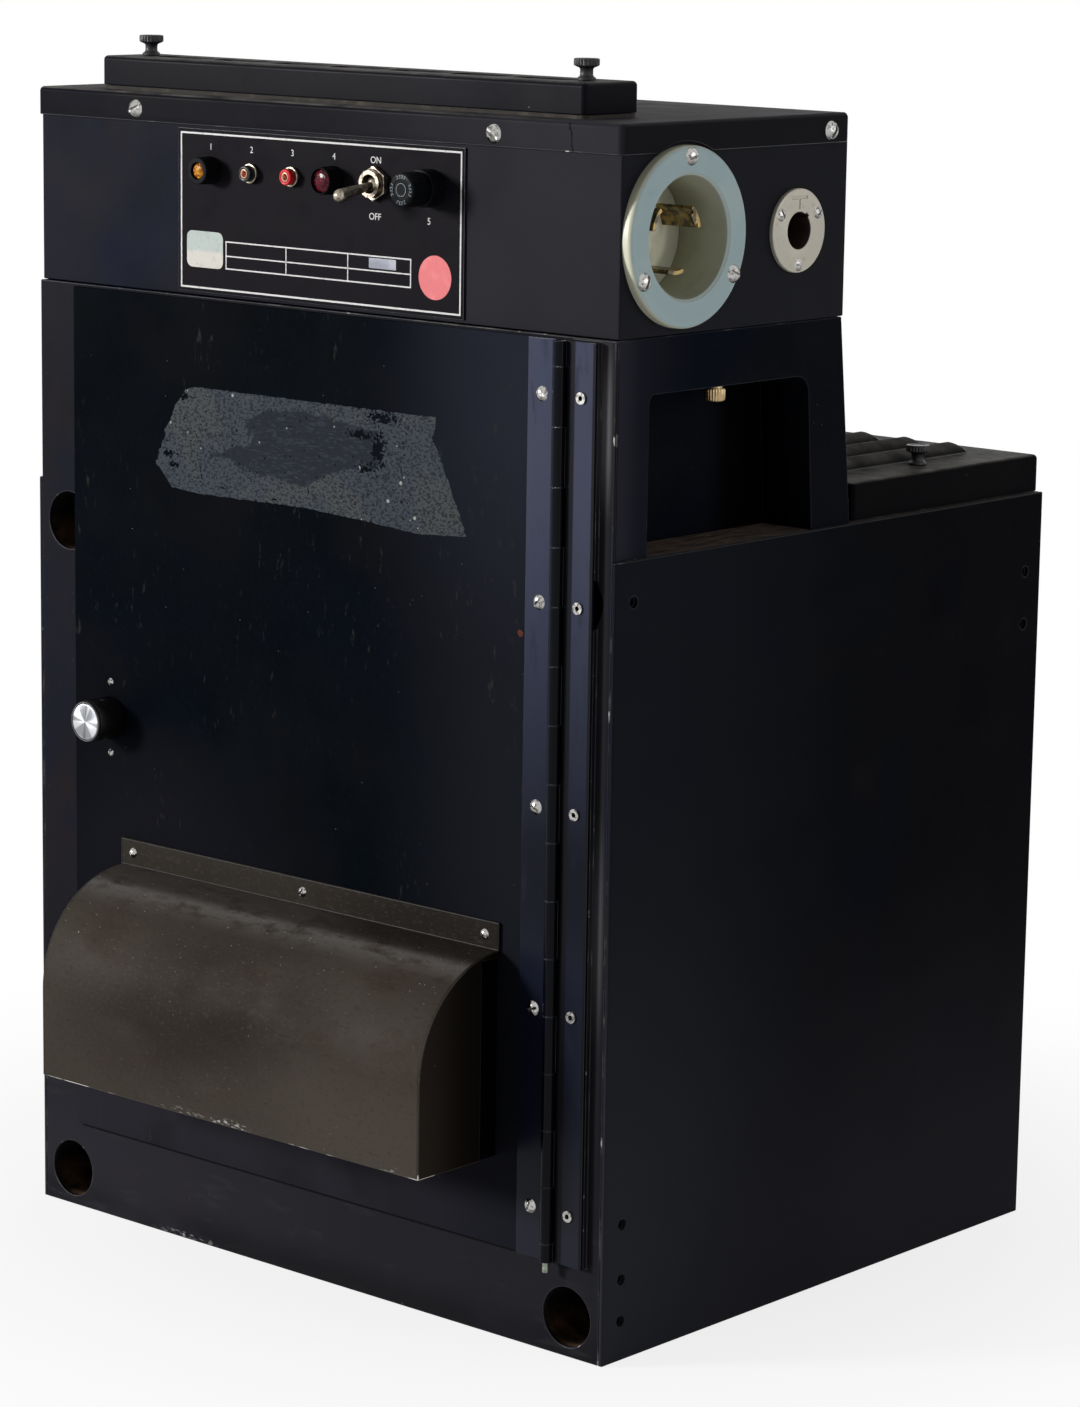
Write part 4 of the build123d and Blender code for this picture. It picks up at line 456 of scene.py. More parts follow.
# The foot of the case is toned darker towards the lower right.
darker_low_right = case_black.overlap(
    case_black.across(rightward, -130.0, 90.0), case_black.across(upward, 110.0, 60.0)
)
case_black.tint(darker_low_right, (0.0108, 0.0101, 0.0132), 0.75)
near_floor = case_black.overlap(
    case_black.across(upward, 20.0, 4.0), case_black.clouds(38, 0.32, 0.58, 5, (2, 1, 1), seed=49)
)
case_black.tint(near_floor, (0.0066, 0.0062, 0.0080), 0.85)
scuffed = case_black.overlap(
    case_black.across(upward, 120.0, 30.0), case_black.clouds(8, 0.56, 0.72, 6, (3, 1, 0.7), seed=47)
)
case_black.tint(scuffed, (0.030, 0.029, 0.033), 0.3)
flecked = case_black.overlap(
    case_black.between(case_black.reach((-80, 0, 1.2), (0.12, 0, 1)), 3.0, 1.0),
    case_black.clouds(1.6, 0.50, 0.62, 6, (3, 1, 0.8), seed=45),
)
case_black.tint(flecked, (0.16, 0.16, 0.165), 0.8)
case_black.tint(case_black.dots(6, 0.36, 0.3, seed=51), (0.060, 0.058, 0.062), 0.8)
# Dark lines on the frame under and beside the door are painted shadow, where the door stands proud of it.
for direction, line, half, along_it, middle, length in (
    (upward, 41.6, 1.3, rightward, -2.0, 149.0),
    (rightward, -152.0, 1.1, upward, 242.0, 201.0),
):
    gap_shadow = case_black.between(case_black.either_side(direction, line), half, half * 0.5)
    run = case_black.between(case_black.either_side(along_it, middle), length, length - 1.5)
    case_black.tint(case_black.overlap(gap_shadow, run), (0.0008, 0.0008, 0.0010), 0.9)
for node in ("front_frame", "rear_panel"):
    broken_edges(node, 0.45, case_black, case_edge)
for node in ("left_side_panel", "right_side_panel"):
    broken_edges(node, 0.45, side_black, side_edge)
broken_edges("base_pan", 0.3, inner_black)

# Rod tubes. Four steel tubes welded through the case carry the rods of the optical stages.
# They were never painted inside, and have gone brown with rust.
tube_rust = Finish("browned tube steel", (0.0040, 0.0030, 0.0026), 0.8, shine=0.05)
rusted = tube_rust.overlap(tube_rust.facing_up(-0.2, 0.8), tube_rust.clouds(9, 0.3, 0.65, 6))
tube_rust.tint(rusted, (0.10, 0.055, 0.030))
tube_rust.tint(tube_rust.clouds(3.5, 0.52, 0.72, 4, seed=3), (0.012, 0.008, 0.006), 0.8)
tube_rust.relief(tube_rust.mottle(1.6, 5), 0.12)


def coat(node, finish):
    """Gives a solid its finish, and leaves its shape as it is."""
    frame["nodes"][node].material_slots[0].material = finish.material


coat("rod_tubes", tube_rust)

# Neck. A folded shell stands on the deck and carries the control head.
# A hand hold is let into each side. Dust and brown grit lie on its floor,
# swept into streaks by the carrying hand.
neck_black = black_paint("neck black", (0.0032, 0.0040, 0.0062), 0.010, 0.5, 0.06)
neck_black.tint(neck_black.across(forward, 95.0, 160.0), (0.0150, 0.0160, 0.0250), 0.9)
neck_black.tint(neck_black.across(forward, 136.0, 152.0), (0.0270, 0.0280, 0.0360), 0.7)
# The far wall inside each hand hold is painted near black, as painted shade in the recess.
shaded_far_wall = neck_black.overlap(
    neck_black.across(backward, -62.0, -44.0),
    neck_black.between(neck_black.either_side(rightward), 164.0, 160.0),
)
neck_black.tint(shaded_far_wall, (0.0003, 0.0003, 0.0005), 0.95)
neck_edge = black_paint("neck rubbed edge", (0.010, 0.0105, 0.014), 0.03, worn=0.45)
# The edges inside the hand holds are painted dark, as painted shade in the recess.
shaded_hold_edges = neck_edge.between(neck_edge.either_side(rightward), 160.0, 157.0)
neck_edge.tint(shaded_hold_edges, (0.0006, 0.0006, 0.0009))
broken_edges("neck_shell", 0.45, neck_black, neck_edge)
deck_black = black_paint("deck black", (0.009, 0.009, 0.010), 0.06, 0.5)
grit = deck_black.mottle(9, 6, (0.35, 2.2, 1), seed=21)
deck_black.tint(deck_black.between(grit, 0.30, 0.55), (0.085, 0.062, 0.048), 0.85)
deck_black.tint(deck_black.clouds(4, 0.52, 0.68, 6, (0.4, 2.5, 1), seed=23), (0.17, 0.125, 0.095), 0.8)
deck_black.dull(1.0, 0.85)
broken_edges("deck_plate", 0.4, deck_black, case_edge)


# Brass thumb screw. It hangs from the roof of the right hand hold and clamps the head down.
# It is turned from the bar, with a straight knurl round the head and a bright plain collar.
def turned(profile, foot, up, flutes=0, bite=0.0, sides=72):
    """Turns a profile of (radius, height) round an axis. A third value in a step marks the fluted part."""
    shape = bmesh.new()
    sides = max(sides, flutes * 4)
    rings = []
    for radius, height, *fluted in profile:
        ring = []
        for i in range(sides if radius else 1):
            angle = 2 * pi * i / sides
            r = radius - (bite * (0.5 - 0.5 * cos(flutes * angle)) if fluted else 0)
            ring.append(shape.verts.new((r * cos(angle), r * sin(angle), height)))
        rings.append(ring)
    for low, high in zip(rings, rings[1:]):
        for i in range(max(len(low), len(high))):
            j = (i + 1) % max(len(low), len(high))
            if len(low) == 1:
                shape.faces.new((low[0], high[j], high[i]))
            elif len(high) == 1:
                shape.faces.new((low[i], low[j], high[0]))
            else:
                shape.faces.new((low[i], low[j], high[j], high[i]))
    bmesh.ops.recalc_face_normals(shape, faces=shape.faces)
    turn = Vector(up).to_track_quat("Z", "Y").to_matrix().to_4x4()
    shape.transform(Matrix.Scale(mm, 4) @ Matrix.Translation(foot) @ turn)
    return shape


def fitted(shape, name, finish, body, slot, *solids, corner=38):
    """Makes a piece of a shape, gives it its finish and fits it on the body that carries it."""
    mesh = bpy.data.meshes.new(name)
    shape.to_mesh(mesh)
    shape.free()
    mesh.materials.append(finish.material)
    mesh.shade_smooth()
    mesh.set_sharp_from_angle(angle=radians(corner))
    piece = bpy.data.objects.new(name, mesh)
    bpy.context.scene.collection.objects.link(piece)
    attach(piece, body)
    if solids:
        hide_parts(*solids)
    return piece


brass = Finish("turned brass", (0.42, 0.31, 0.17), 0.3, metal=1.0)
brass.tint(brass.clouds(4, 0.45, 0.75, 5), (0.20, 0.14, 0.08), 0.8)
brass.dull(brass.clouds(3, 0.4, 0.7, 4, seed=4), 0.42)
brass.relief(brass.mottle(0.5, 2), 0.004)
brass_profile = [
    (0, 0), (3.7, 0), (4.1, 0.3), (4.65, 0.9, "knurl"), (4.65, 4.9, "knurl"), (4.3, 5.6), (3.7, 5.6),
    (3.6, 5.9), (3.6, 8.0), (3.4, 8.2), (2.0, 8.2), (2.0, 18.5), (0, 18.5),
]
fitted(
    turned(brass_profile, (162, -72, 411.5), upward, 24, 0.42),
    "brass_knurled_screw",
    brass,
    "brass_thumb_screw",
    "brass",
    "brass_screw",
)

# Control head. A folded box, with the panel in its front and two sockets in its right side.
# Its lid is a tray with a turned-down flange, held by round-head screws.
# The flange is cracked near the front right corner.
head_black = black_paint("head black", (0.0054, 0.0060, 0.0108), 0.03, 0.45, 0.10)
head_black.tint(head_black.across(rightward, -110.0, 150.0), (0.0165, 0.0162, 0.0200), 0.9)
# The right side face of the head is painted darker than the front, as painted shade.
head_black.tint(head_black.across(rightward, 174.6, 175.2), (0.0100, 0.0105, 0.0142), 0.9)
broken_edges("head_case", 0.45, head_black)
lid_black = black_paint("lid black", (0.0026, 0.0026, 0.0050), 0.026, 0.40, 0.06, dust=0.6)
lid_black.tint(lid_black.across(rightward, 0.0, 160.0), (0.0215, 0.0210, 0.0255), 0.85)
# The right side face of the lid is painted darker, as painted shade.
lid_black.tint(lid_black.across(rightward, 177.0, 177.4), (0.0045, 0.0045, 0.0066), 0.9)
lid_black.dull(lid_black.facing_up(), 0.66)
flange_front = lid_black.across(forward, 153.6, 153.9)
split = lid_black.step("SUBTRACT", lid_black.along((1, 0, 0.19)), 249.4)
split = lid_black.step(
    "ADD", split, lid_black.step("MULTIPLY", lid_black.step("SUBTRACT", lid_black.mottle(5, 3), 0.5), 5.0)
)
split = lid_black.between(lid_black.step("ABSOLUTE", split, 0.0), 0.65, 0.25)
lid_black.tint(lid_black.overlap(split, flange_front), (0.001, 0.001, 0.001))
lid_edge = black_paint(
    "lid rubbed edge", (0.020, 0.019, 0.022), 0.3, worn=0.7, chips=[((147.2, -154.2, 521.2), 1.2)]
)
rough_cut = lid_edge.patch((177.5, -113.7, 520), 22, 0.2, (0, 1, 1))
lid_edge.tint(rough_cut, (0.002, 0.002, 0.002))
broken_edges("head_lid", 0.4, lid_black, lid_edge)


# Nickel screws and rivets. Round-head machine screws, plated, with the slots left where the driver left them.
# The plate is painted darker where it faces down, as a painted reflection of the dark surroundings, and is
# mottled darker in small patches.
def nickel(name, colour, roughness=0.2):
    """Nickel plate, painted darker where it faces down, as a painted reflection."""
    plate = Finish(name, colour, roughness, metal=1.0)
    plate.tint(plate.clouds(3.2, 0.45, 0.75, 5), [c * 0.5 for c in colour], 0.8)
    # Painted reflection: darker where the plate faces down.
    plate.tint(plate.facing_up(-0.15, -0.75), [c * 0.22 for c in colour], 0.9)
    plate.tint(plate.clouds(1.4, 0.52, 0.62, 3, seed=7), [c * 0.16 for c in colour], 0.8)
    plate.dull(plate.clouds(2.2, 0.45, 0.7, 4, seed=4), roughness + 0.2)
    plate.relief(plate.mottle(0.6, 3), 0.01)
    return plate


bright_nickel = nickel("bright nickel", (0.46, 0.45, 0.43), 0.14)
warm_nickel = nickel("warm nickel", (0.33, 0.285, 0.23), 0.32)
for node in ("lid_screws", "inlet_screws", "socket_screws", "hinge_screws", "hood_screws", "latch_screws"):
    coat(node, bright_nickel)
for node in ("panel_nuts", "toggle_lever", "toggle_body"):
    coat(node, warm_nickel)
coat("hinge_rivets", nickel("rivet nickel", (0.40, 0.39, 0.37), 0.3))

# Vent cover. A folded tray with seven slots stands on a fibre gasket on the lid.
# Dust has caught along the gasket, and two knurled thumb screws hold the cover down.
vent_black = black_paint("vent cover black", (0.0046, 0.0042, 0.0066), 0.035, 0.36, 0.06, dust=0.4)
vent_black.dull(vent_black.facing_up(), 0.62)
broken_edges("vent_cover", 0.4, vent_black)
fibre = Finish("fibre board", (0.020, 0.0165, 0.0125), 0.9)
fibre.tint(fibre.clouds(7, 0.5, 0.7, 6), (0.075, 0.062, 0.042), 0.8)
fibre.tint(fibre.clouds(16, 0.5, 0.7, 5, seed=5), (0.02, 0.018, 0.016), 0.8)
fibre.relief(fibre.mottle(0.8, 4), 0.1)
coat("vent_gasket", fibre)
oxide = Finish("black oxide", (0.014, 0.0145, 0.017), 0.42, metal=0.0, shine=0.3)
oxide.tint(oxide.clouds(3, 0.55, 0.75, 5), (0.05, 0.045, 0.04), 0.6)
oxide.dull(oxide.clouds(4, 0.4, 0.7, 4, seed=4), 0.6)
oxide.relief(oxide.mottle(0.7, 3), 0.02)


def thumb_screw_shape(x, y, seat, reach):
    """A black thumb screw: shank, foot, waist and a knurled disc with a dished top."""
    profile = [
        (0, -reach), (1.7, -reach), (2.0, 0.4 - reach), (2.0, 0),
        (4.1, 0), (4.2, 0.3), (4.0, 0.9), (3.1, 1.5), (2.8, 2.1), (2.8, 4.5), (3.2, 5.1), (4.7, 5.7),
        (5.5, 6.2, "knurl"), (5.5, 8.6, "knurl"), (5.1, 9.0), (4.4, 8.95), (3.4, 8.65), (0, 8.6),
    ]
    return turned(profile, (x, y, seat), upward, 24, 0.4)


for side, body, name in ((-1, "vent_screw_a", "left"), (1, "vent_screw_b", "right")):
    shape = thumb_screw_shape(side * 132.0, -125.0, 548.6, 22.8)
    fitted(shape, "vent_thumb_screw_" + name, oxide, body, "black_oxide", "vent_screw_" + name)

# Rear cover. A shallow tray with twelve pressed louvres closes the port in the deck behind the neck.
# It lifts off after its two thumb screws are undone.
rear_black = black_paint("rear cover black", (0.0014, 0.0014, 0.0021), 0.012, 0.38, 0.03, dust=0.5)
rear_black.dull(rear_black.facing_up(), 0.62)
broken_edges("rear_cover", 0.4, rear_black, case_edge)
for side, body, name in ((-1, "rear_screw_a", "left"), (1, "rear_screw_b", "right")):
    shape = thumb_screw_shape(side * 157.3, 82.75, 369.2, 20.9)
    fitted(shape, "rear_thumb_screw_" + name, oxide, body, "black_oxide", "rear_screw_" + name)

# Service door. One flat sheet with a lip welded behind it, sprayed a deeper black than the case.
# It shows fine dust, a few knocks, and a torn strip of old tape glue near the top.
door_black = black_paint("door black", (0.0005, 0.0015, 0.0028), 0.010, 0.5, 0.02, foot_dust_and_bounce=(118, 62, 0.85))
brown_haze = door_black.clouds(85, 0.46, 0.68, 5, seed=33)
door_black.tint(brown_haze, (0.0040, 0.0034, 0.0044), 0.5)
by_the_hinge = door_black.across(rightward, 30.0, 132.0)
door_black.tint(by_the_hinge, (0.0084, 0.0092, 0.0132), 0.9)
door_black.tint(
    door_black.overlap(by_the_hinge, door_black.across(upward, 290.0, 420.0)), (0.0150, 0.0170, 0.0270), 0.8
)
over_the_hood = door_black.between(door_black.reach((-95, 0, 165), (0.8, 0, 1)), 95.0, 30.0)
door_black.tint(over_the_hood, (0.0056, 0.0058, 0.0085), 0.85)
smears = door_black.overlap(
    door_black.clouds(5, 0.62, 0.74, 5, (0.5, 1, 1.6), seed=27),
    door_black.clouds(60, 0.46, 0.6, 3, (1, 1, 1.6), seed=29),
)
door_black.tint(smears, (0.026, 0.023, 0.023), 0.7)
door_black.tint(door_black.dots(9, 0.38, 0.4, seed=31), (0.085, 0.070, 0.058), 0.8)
door_black.tint(door_black.patch((127.5, -157.0, 316), 1.6), (0.11, 0.035, 0.018), 0.8)
broken_edges("door_panel", 0.4, door_black)

door_front = -157.0
tape_top = 403.5
tape_foot = [
    (-95.4, 361.0), (-85.5, 356.4), (-67.0, 355.1), (-3.9, 356.0), (33.0, 354.3), (68.8, 351.9), (95.7, 353.9),
]
tape_left = [(0.0, -85.5), (0.14, -95.4), (0.36, -93.4), (0.6, -89.4), (0.86, -83.5), (1.0, -76.3)]
tape_right = [(0.0, 95.7), (0.19, 92.1), (0.47, 84.9), (0.8, 76.5), (1.0, 77.5)]
bare_patch = [
    (-39, 391), (-27.8, 396.2), (-4.1, 398.3), (23.4, 396.8), (43.4, 394.1), (45.8, 386.4),
    (42.3, 378), (26.6, 376), (11.4, 371.5), (-1, 365.5), (-23.9, 367.5), (-48, 372),
    (-62, 373.5), (-50, 377), (-36, 379.5), (-33, 385),
]
torn_holes = [
    (46, 400.2, 8.0, 2.1), (43.5, 386, 3.4, 6.8), (33, 391.5, 5.5, 1.6), (36, 377, 4.2, 1.5),
    (-88, 371.5, 3.0, 1.3), (-84.5, 366.5, 2.6, 1.3), (-78, 398, 3.0, 1.4),
]


def read_off(curve, at):
    """Reads a curve given as points in rising order."""
    for (a, va), (b, vb) in zip(curve, curve[1:]):
        if at <= b:
            return va + (vb - va) * max(at - a, 0) / (b - a)
    return curve[-1][1]


def is_inside(outline, x, z):
    """Whether a point lies inside a closed outline."""
    inside = False
    for (xa, za), (xb, zb) in zip(outline, outline[1:] + outline[:1]):
        if (za > z) != (zb > z) and x < xa + (xb - xa) * (z - za) / (zb - za):
            inside = not inside
    return inside


glue_shape = bmesh.new()
bare = glue_shape.verts.layers.float.new("bare")
columns, rows = 236, 64
points = []
for i in range(columns + 1):
    column = []
    for j in range(rows + 1):
        v = j / rows
        left, right = read_off(tape_left, v), read_off(tape_right, v)
        ragged = noise.noise((v * 9, 3.1, 0)) * 1.6 + noise.noise((v * 40, 7.7, 0)) * 0.8
        ragged_right = noise.noise((v * 8, 11.1, 0)) * 1.2 + noise.noise((v * 36, 17.7, 0)) * 0.9
        x = left + ragged + (right + ragged_right - left - ragged) * i / columns
        low = read_off(tape_foot, x) + noise.noise((x * 0.5, 5.5, 0)) * 0.35
        high = tape_top + noise.noise((x * 0.4, 9.5, 0)) * 0.4 - max(0, -70 - x) * 0.25
        z = low + (high - low) * v
        thick = 0.10 + 0.05 * noise.noise((x * 0.35, z * 0.35, 1.0))
        point = glue_shape.verts.new((x * mm, (door_front - thick) * mm, z * mm))
        wander = 2.4 * noise.noise((x * 0.12, z * 0.12, 4.0)) + 1.2 * noise.noise((x * 0.4, z * 0.4, 8.0))
        point[bare] = 1.0 if is_inside(bare_patch, x + wander, z + wander) else 0.0
        column.append(point)
    points.append(column)
for i in range(columns):
    for j in range(rows):
        corner = points[i][j].co / mm
        gone = any(
            hypot((corner.x - x) / wide, (corner.z - z) / high)
            < 1 + 1.6 * noise.noise((corner.x * 0.7, corner.z * 0.7, 2.0))
            for x, z, wide, high in torn_holes
        )
        gone = gone or noise.noise((corner.x * 0.55, corner.z * 0.55, 6.0)) > 0.60
        if not gone:
            glue_shape.faces.new((points[i][j], points[i + 1][j], points[i + 1][j + 1], points[i][j + 1]))
bmesh.ops.delete(glue_shape, geom=[v for v in glue_shape.verts if not v.link_faces], context="VERTS")
glue = Finish("old tape glue", (0.036, 0.043, 0.054), 0.8, shine=0.1)
glue.tint(glue.clouds(30, 0.45, 0.6, 3, seed=2), (0.048, 0.052, 0.054))
glue.tint(glue.clouds(1.3, 0.47, 0.60, 5, (1.3, 1, 0.8)), (0.009, 0.012, 0.017), 0.9)
glue.tint(glue.clouds(3.5, 0.58, 0.68, 5, seed=9), (0.010, 0.012, 0.016), 0.8)
kept = glue.tree.nodes.new("ShaderNodeAttribute")
kept.attribute_name = "bare"
glue.tint(kept.outputs["Fac"], (0.0078, 0.0102, 0.0152), 0.92)
fibres = glue.step("MULTIPLY", kept.outputs["Fac"], glue.clouds(1.4, 0.5, 0.66, 5, (2.4, 1, 0.6), seed=11))
glue.tint(fibres, (0.022, 0.027, 0.036))
glue.tint(glue.dots(8.0, 1.0, 0.34, seed=1), (0.30, 0.31, 0.28), 0.9)
glue.tint(glue.dots(4.2, 0.55, 0.14, seed=7), (0.30, 0.31, 0.30), 0.8)
glue.relief(glue.mottle(1.2, 4), 0.10)
fitted(glue_shape, "old_tape_glue", glue, "door", "door_paint")

# Piano hinge. Two rolled steel leaves with knuckles at one inch, blued and lacquered, on one long pin.
# The door leaf is screwed on and the fixed leaf is riveted.
hinge_blue = Finish("blued hinge steel", (0.034, 0.042, 0.078), 0.30, shine=0.08)
hinge_blue.tint(hinge_blue.clouds(55, 0.4, 0.7, 4, (1, 1, 3)), (0.044, 0.046, 0.074))
low_down = hinge_blue.across(upward, 400.0, 205.0)
hinge_blue.tint(low_down, (0.0042, 0.0056, 0.0140), 0.97)
hinge_blue.tint(hinge_blue.across(upward, 100.0, 70.0), (0.0145, 0.0160, 0.0225), 0.8)
dark_band = hinge_blue.either_side(upward, 212.0)
hinge_blue.tint(hinge_blue.between(dark_band, 42.0, 6.0), (0.0010, 0.0018, 0.0070), 0.9)
hinge_blue.tint(hinge_blue.clouds(5, 0.56, 0.8, 5, (1, 1, 4), seed=2), (0.010, 0.012, 0.022), 0.7)
hinge_axis = (149.8, -159.9, 0)
barrel = hinge_blue.between(hinge_blue.reach(hinge_axis, (1, 1, 0)), 3.5, 3.1)
hinge_blue.tint(barrel, (0.0012, 0.0016, 0.0040), 0.96)
# Dark lines either side of the barrel and along the fixed leaf's outer edge are painted shadow.
for far_edge, near_edge, middle in ((3.1, 2.3, 154.6), (1.7, 0.9, 146.0), (1.5, 0.9, 168.3)):
    knuckle_shadow = hinge_blue.between(hinge_blue.either_side(rightward, middle), far_edge, near_edge)
    hinge_blue.tint(knuckle_shadow, (0.0022, 0.0022, 0.0035), 0.92)
hinge_blue.dull(barrel, 0.18)
hinge_blue.tint(hinge_blue.dots(9, 0.3, 0.1, seed=3), (0.22, 0.21, 0.2))
hinge_blue.relief(hinge_blue.mottle(1.4, 3, (1, 1, 5)), 0.006)
hinge_blue.relief(hinge_blue.mottle(60, 2, (1, 1, 2)), 0.12)
hinge_edge = Finish("hinge rubbed edge", (0.040, 0.042, 0.060), 0.25, shine=0.3)
hinge_edge.tint(hinge_edge.clouds(9, 0.45, 0.65, 5, (1, 1, 3)), (0.016, 0.017, 0.028))
# Painted shadow along the fixed leaf's outer edge.
hinge_edge.tint(hinge_edge.across(rightward, 166.0, 167.0), (0.0022, 0.0022, 0.0035), 0.92)
hinge_edge.relief(hinge_edge.mottle(1.4, 3), 0.006)
for node in ("hinge_door_leaf", "hinge_frame_leaf"):
    broken_edges(node, 0.14, hinge_blue, hinge_edge)
pin_steel = Finish("hinge pin steel", (0.30, 0.31, 0.27), 0.4, metal=1.0)
pin_steel.tint(pin_steel.clouds(3, 0.4, 0.6, 5), (0.10, 0.14, 0.10), 0.8)
coat("hinge_pin", pin_steel)

# Air hood. Sheet steel rolled to a quarter round over the port in the door, with side walls and a flange.
# It was painted a brown olive. Dust lies on its crown, and its lower edge is chipped.
hood_olive = Finish("hood brown olive", (0.034, 0.0275, 0.0220), 0.55, shine=0.04)
hood_olive.tint(hood_olive.clouds(60, 0.42, 0.66, 5, (1.4, 1, 0.8)), (0.042, 0.0345, 0.0275))
hood_olive.tint(hood_olive.clouds(34, 0.50, 0.72, 6, (1.5, 1, 0.7), seed=4), (0.030, 0.0200, 0.0135), 0.75)
# The lower right of the hood is painted lighter, as a painted highlight.
highlit_skirt = hood_olive.overlap(hood_olive.across(upward, 150.0, 95.0), hood_olive.across(rightward, -20.0, 80.0))
hood_olive.tint(highlit_skirt, (0.056, 0.046, 0.0385), 0.75)
crown_dust = hood_olive.overlap(
    hood_olive.facing_up(0.76, 1.02), hood_olive.clouds(6, 0.26, 0.56, 6, (2, 1, 1), seed=41)
)
hood_olive.tint(crown_dust, (0.150, 0.141, 0.135), 0.9)
for middle, height, size, share in ((-6, 138, 34.0, 1.0), (-34, 118, 34.0, 0.75)):
    stain = hood_olive.between(hood_olive.reach((middle, 0, height), (0.40, 0, 1)), size, 4.0)
    stain = hood_olive.overlap(stain, hood_olive.clouds(24, 0.22, 0.56, 6, (2, 1, 1), seed=height))
    hood_olive.tint(stain, (0.0165, 0.0120, 0.0090), share)
hood_olive.tint(hood_olive.across(upward, 170.5, 173.0), (0.0180, 0.0148, 0.0118), 0.8)
flange_right = hood_olive.overlap(
    hood_olive.across(upward, 171.5, 174.0), hood_olive.across(rightward, 0.0, 60.0)
)
hood_olive.tint(flange_right, (0.0090, 0.0070, 0.0056), 0.8)
specks = hood_olive.overlap(hood_olive.facing_up(0.25, 0.8), hood_olive.dots(2.8, 0.3, 0.4, seed=43))
hood_olive.tint(specks, (0.34, 0.33, 0.31), 0.8)
hood_olive.tint(hood_olive.clouds(1.2, 0.52, 0.74, 5, (1.8, 1, 1), seed=8), (0.060, 0.052, 0.044), 0.40)
hood_olive.tint(hood_olive.clouds(1.9, 0.52, 0.74, 5, (1.8, 1, 1), seed=18), (0.016, 0.012, 0.0095), 0.40)
dusty = hood_olive.clouds(45, 0.48, 0.62, 4, seed=37)
hood_olive.tint(hood_olive.overlap(dusty, hood_olive.dots(3.6, 0.32, 0.5, seed=2)), (0.20, 0.19, 0.17), 0.8)
hood_olive.tint(hood_olive.dots(13, 0.5, 0.2, seed=5), (0.30, 0.29, 0.27), 0.8)
# The side walls are painted darker, as painted shade, and darker still towards the door, as painted shadow.
shaded_hood_sides = hood_olive.between(hood_olive.either_side(rightward), 117.2, 118.6)
hood_olive.tint(shaded_hood_sides, (0.0085, 0.0062, 0.0045), 0.8)
shadow_toward_the_door = hood_olive.overlap(shaded_hood_sides, hood_olive.across(backward, -206.0, -178.0))
hood_olive.tint(shadow_toward_the_door, (0.0022, 0.0015, 0.0008), 0.85)
hood_olive.dull(hood_olive.clouds(30, 0.4, 0.7, 4, seed=9), 0.68)
hood_olive.relief(hood_olive.mottle(0.9, 3), 0.012)
hood_olive.relief(hood_olive.mottle(50, 2, seed=3), 0.25)
for middle, half, share in ((4, 17, 0.8), (-26, 20, 0.3), (100, 12, 0.35)):
    rim = hood_olive.between(hood_olive.reach((middle, 0, 83.6), (3.6 / half, 0, 1)), 3.6, 1.4)
    rim = hood_olive.overlap(rim, hood_olive.clouds(1.5, 0.50, 0.62, 6, (2.2, 1, 0.8), seed=half))
    hood_olive.tint(rim, (0.42, 0.41, 0.38), share)
hood_edge = Finish("hood rubbed edge", (0.036, 0.030, 0.024), 0.45, shine=0.12)
hood_edge.tint(hood_edge.clouds(9, 0.54, 0.70, 6), (0.080, 0.072, 0.062), 0.8)
# The edges at the bend under the flange are painted dark, as painted shade.
hood_edge.tint(hood_edge.across(upward, 168.0, 171.0), (0.0120, 0.0098, 0.0078), 0.9)
lower_rim = hood_edge.across((0, 0, -1), -86.0, -84.5)
chipped = hood_edge.overlap(lower_rim, hood_edge.clouds(16, 0.58, 0.65, 5, (2, 1, 1), seed=31))
hood_edge.tint(chipped, (0.62, 0.60, 0.56))
broken_edges("air_hood", 0.5, hood_olive, hood_edge)
collar_black = black_paint("hood collar black", (0.0007, 0.0007, 0.0010), 0.006, 0.6, 0.02)
broken_edges("hood_collar", 0.3, collar_black)

# Door latch. A black turned knob drives a steel shaft and a cam that grips behind the frame.
# Its aluminium cap was faced on a lathe, so its fine turning lines throw fans of light; bright and dark wedges
# are also painted into its colour as painted highlights.
black_knob = Finish("turned black knob", (0.0045, 0.0045, 0.0055), 0.32, shine=0.25)
black_knob.tint(black_knob.clouds(2.5, 0.5, 0.75, 5), (0.012, 0.011, 0.011), 0.7)
black_knob.tint(black_knob.across(forward, 172.75, 173.0), (0.10, 0.10, 0.105))
black_knob.relief(black_knob.mottle(0.8, 3), 0.01)
knob_profile = [
    (0, -7.1), (3, -7.1), (3, 0), (9.6, 0), (10, 0.4, "knurl"), (9.62, 14.1, "knurl"), (9.35, 14.3),
    (9.35, 14.6), (9.5, 14.8), (9.4, 15.6), (9.1, 16.0), (8.65, 16.0), (8.6, 15.7), (8.6, 15.0), (0, 15.0),
]
knob_place = (-127, -157.3, 243.7)
fitted(
    turned(knob_profile, knob_place, forward, 72, 0.16),
    "latch_knob_turned",
    black_knob,
    "latch",
    "black_plastic",
    "latch_knob",
)
spun = Finish("faced aluminium cap", (0.30, 0.31, 0.33), 0.30, metal=1.0)
spun.shader.inputs["Anisotropic"].default_value = 0.7
round_the_cap = spun.tree.nodes.new("ShaderNodeTangent")
round_the_cap.direction_type = "RADIAL"
round_the_cap.axis = "Y"
spun.tree.links.new(round_the_cap.outputs[0], spun.shader.inputs["Tangent"])
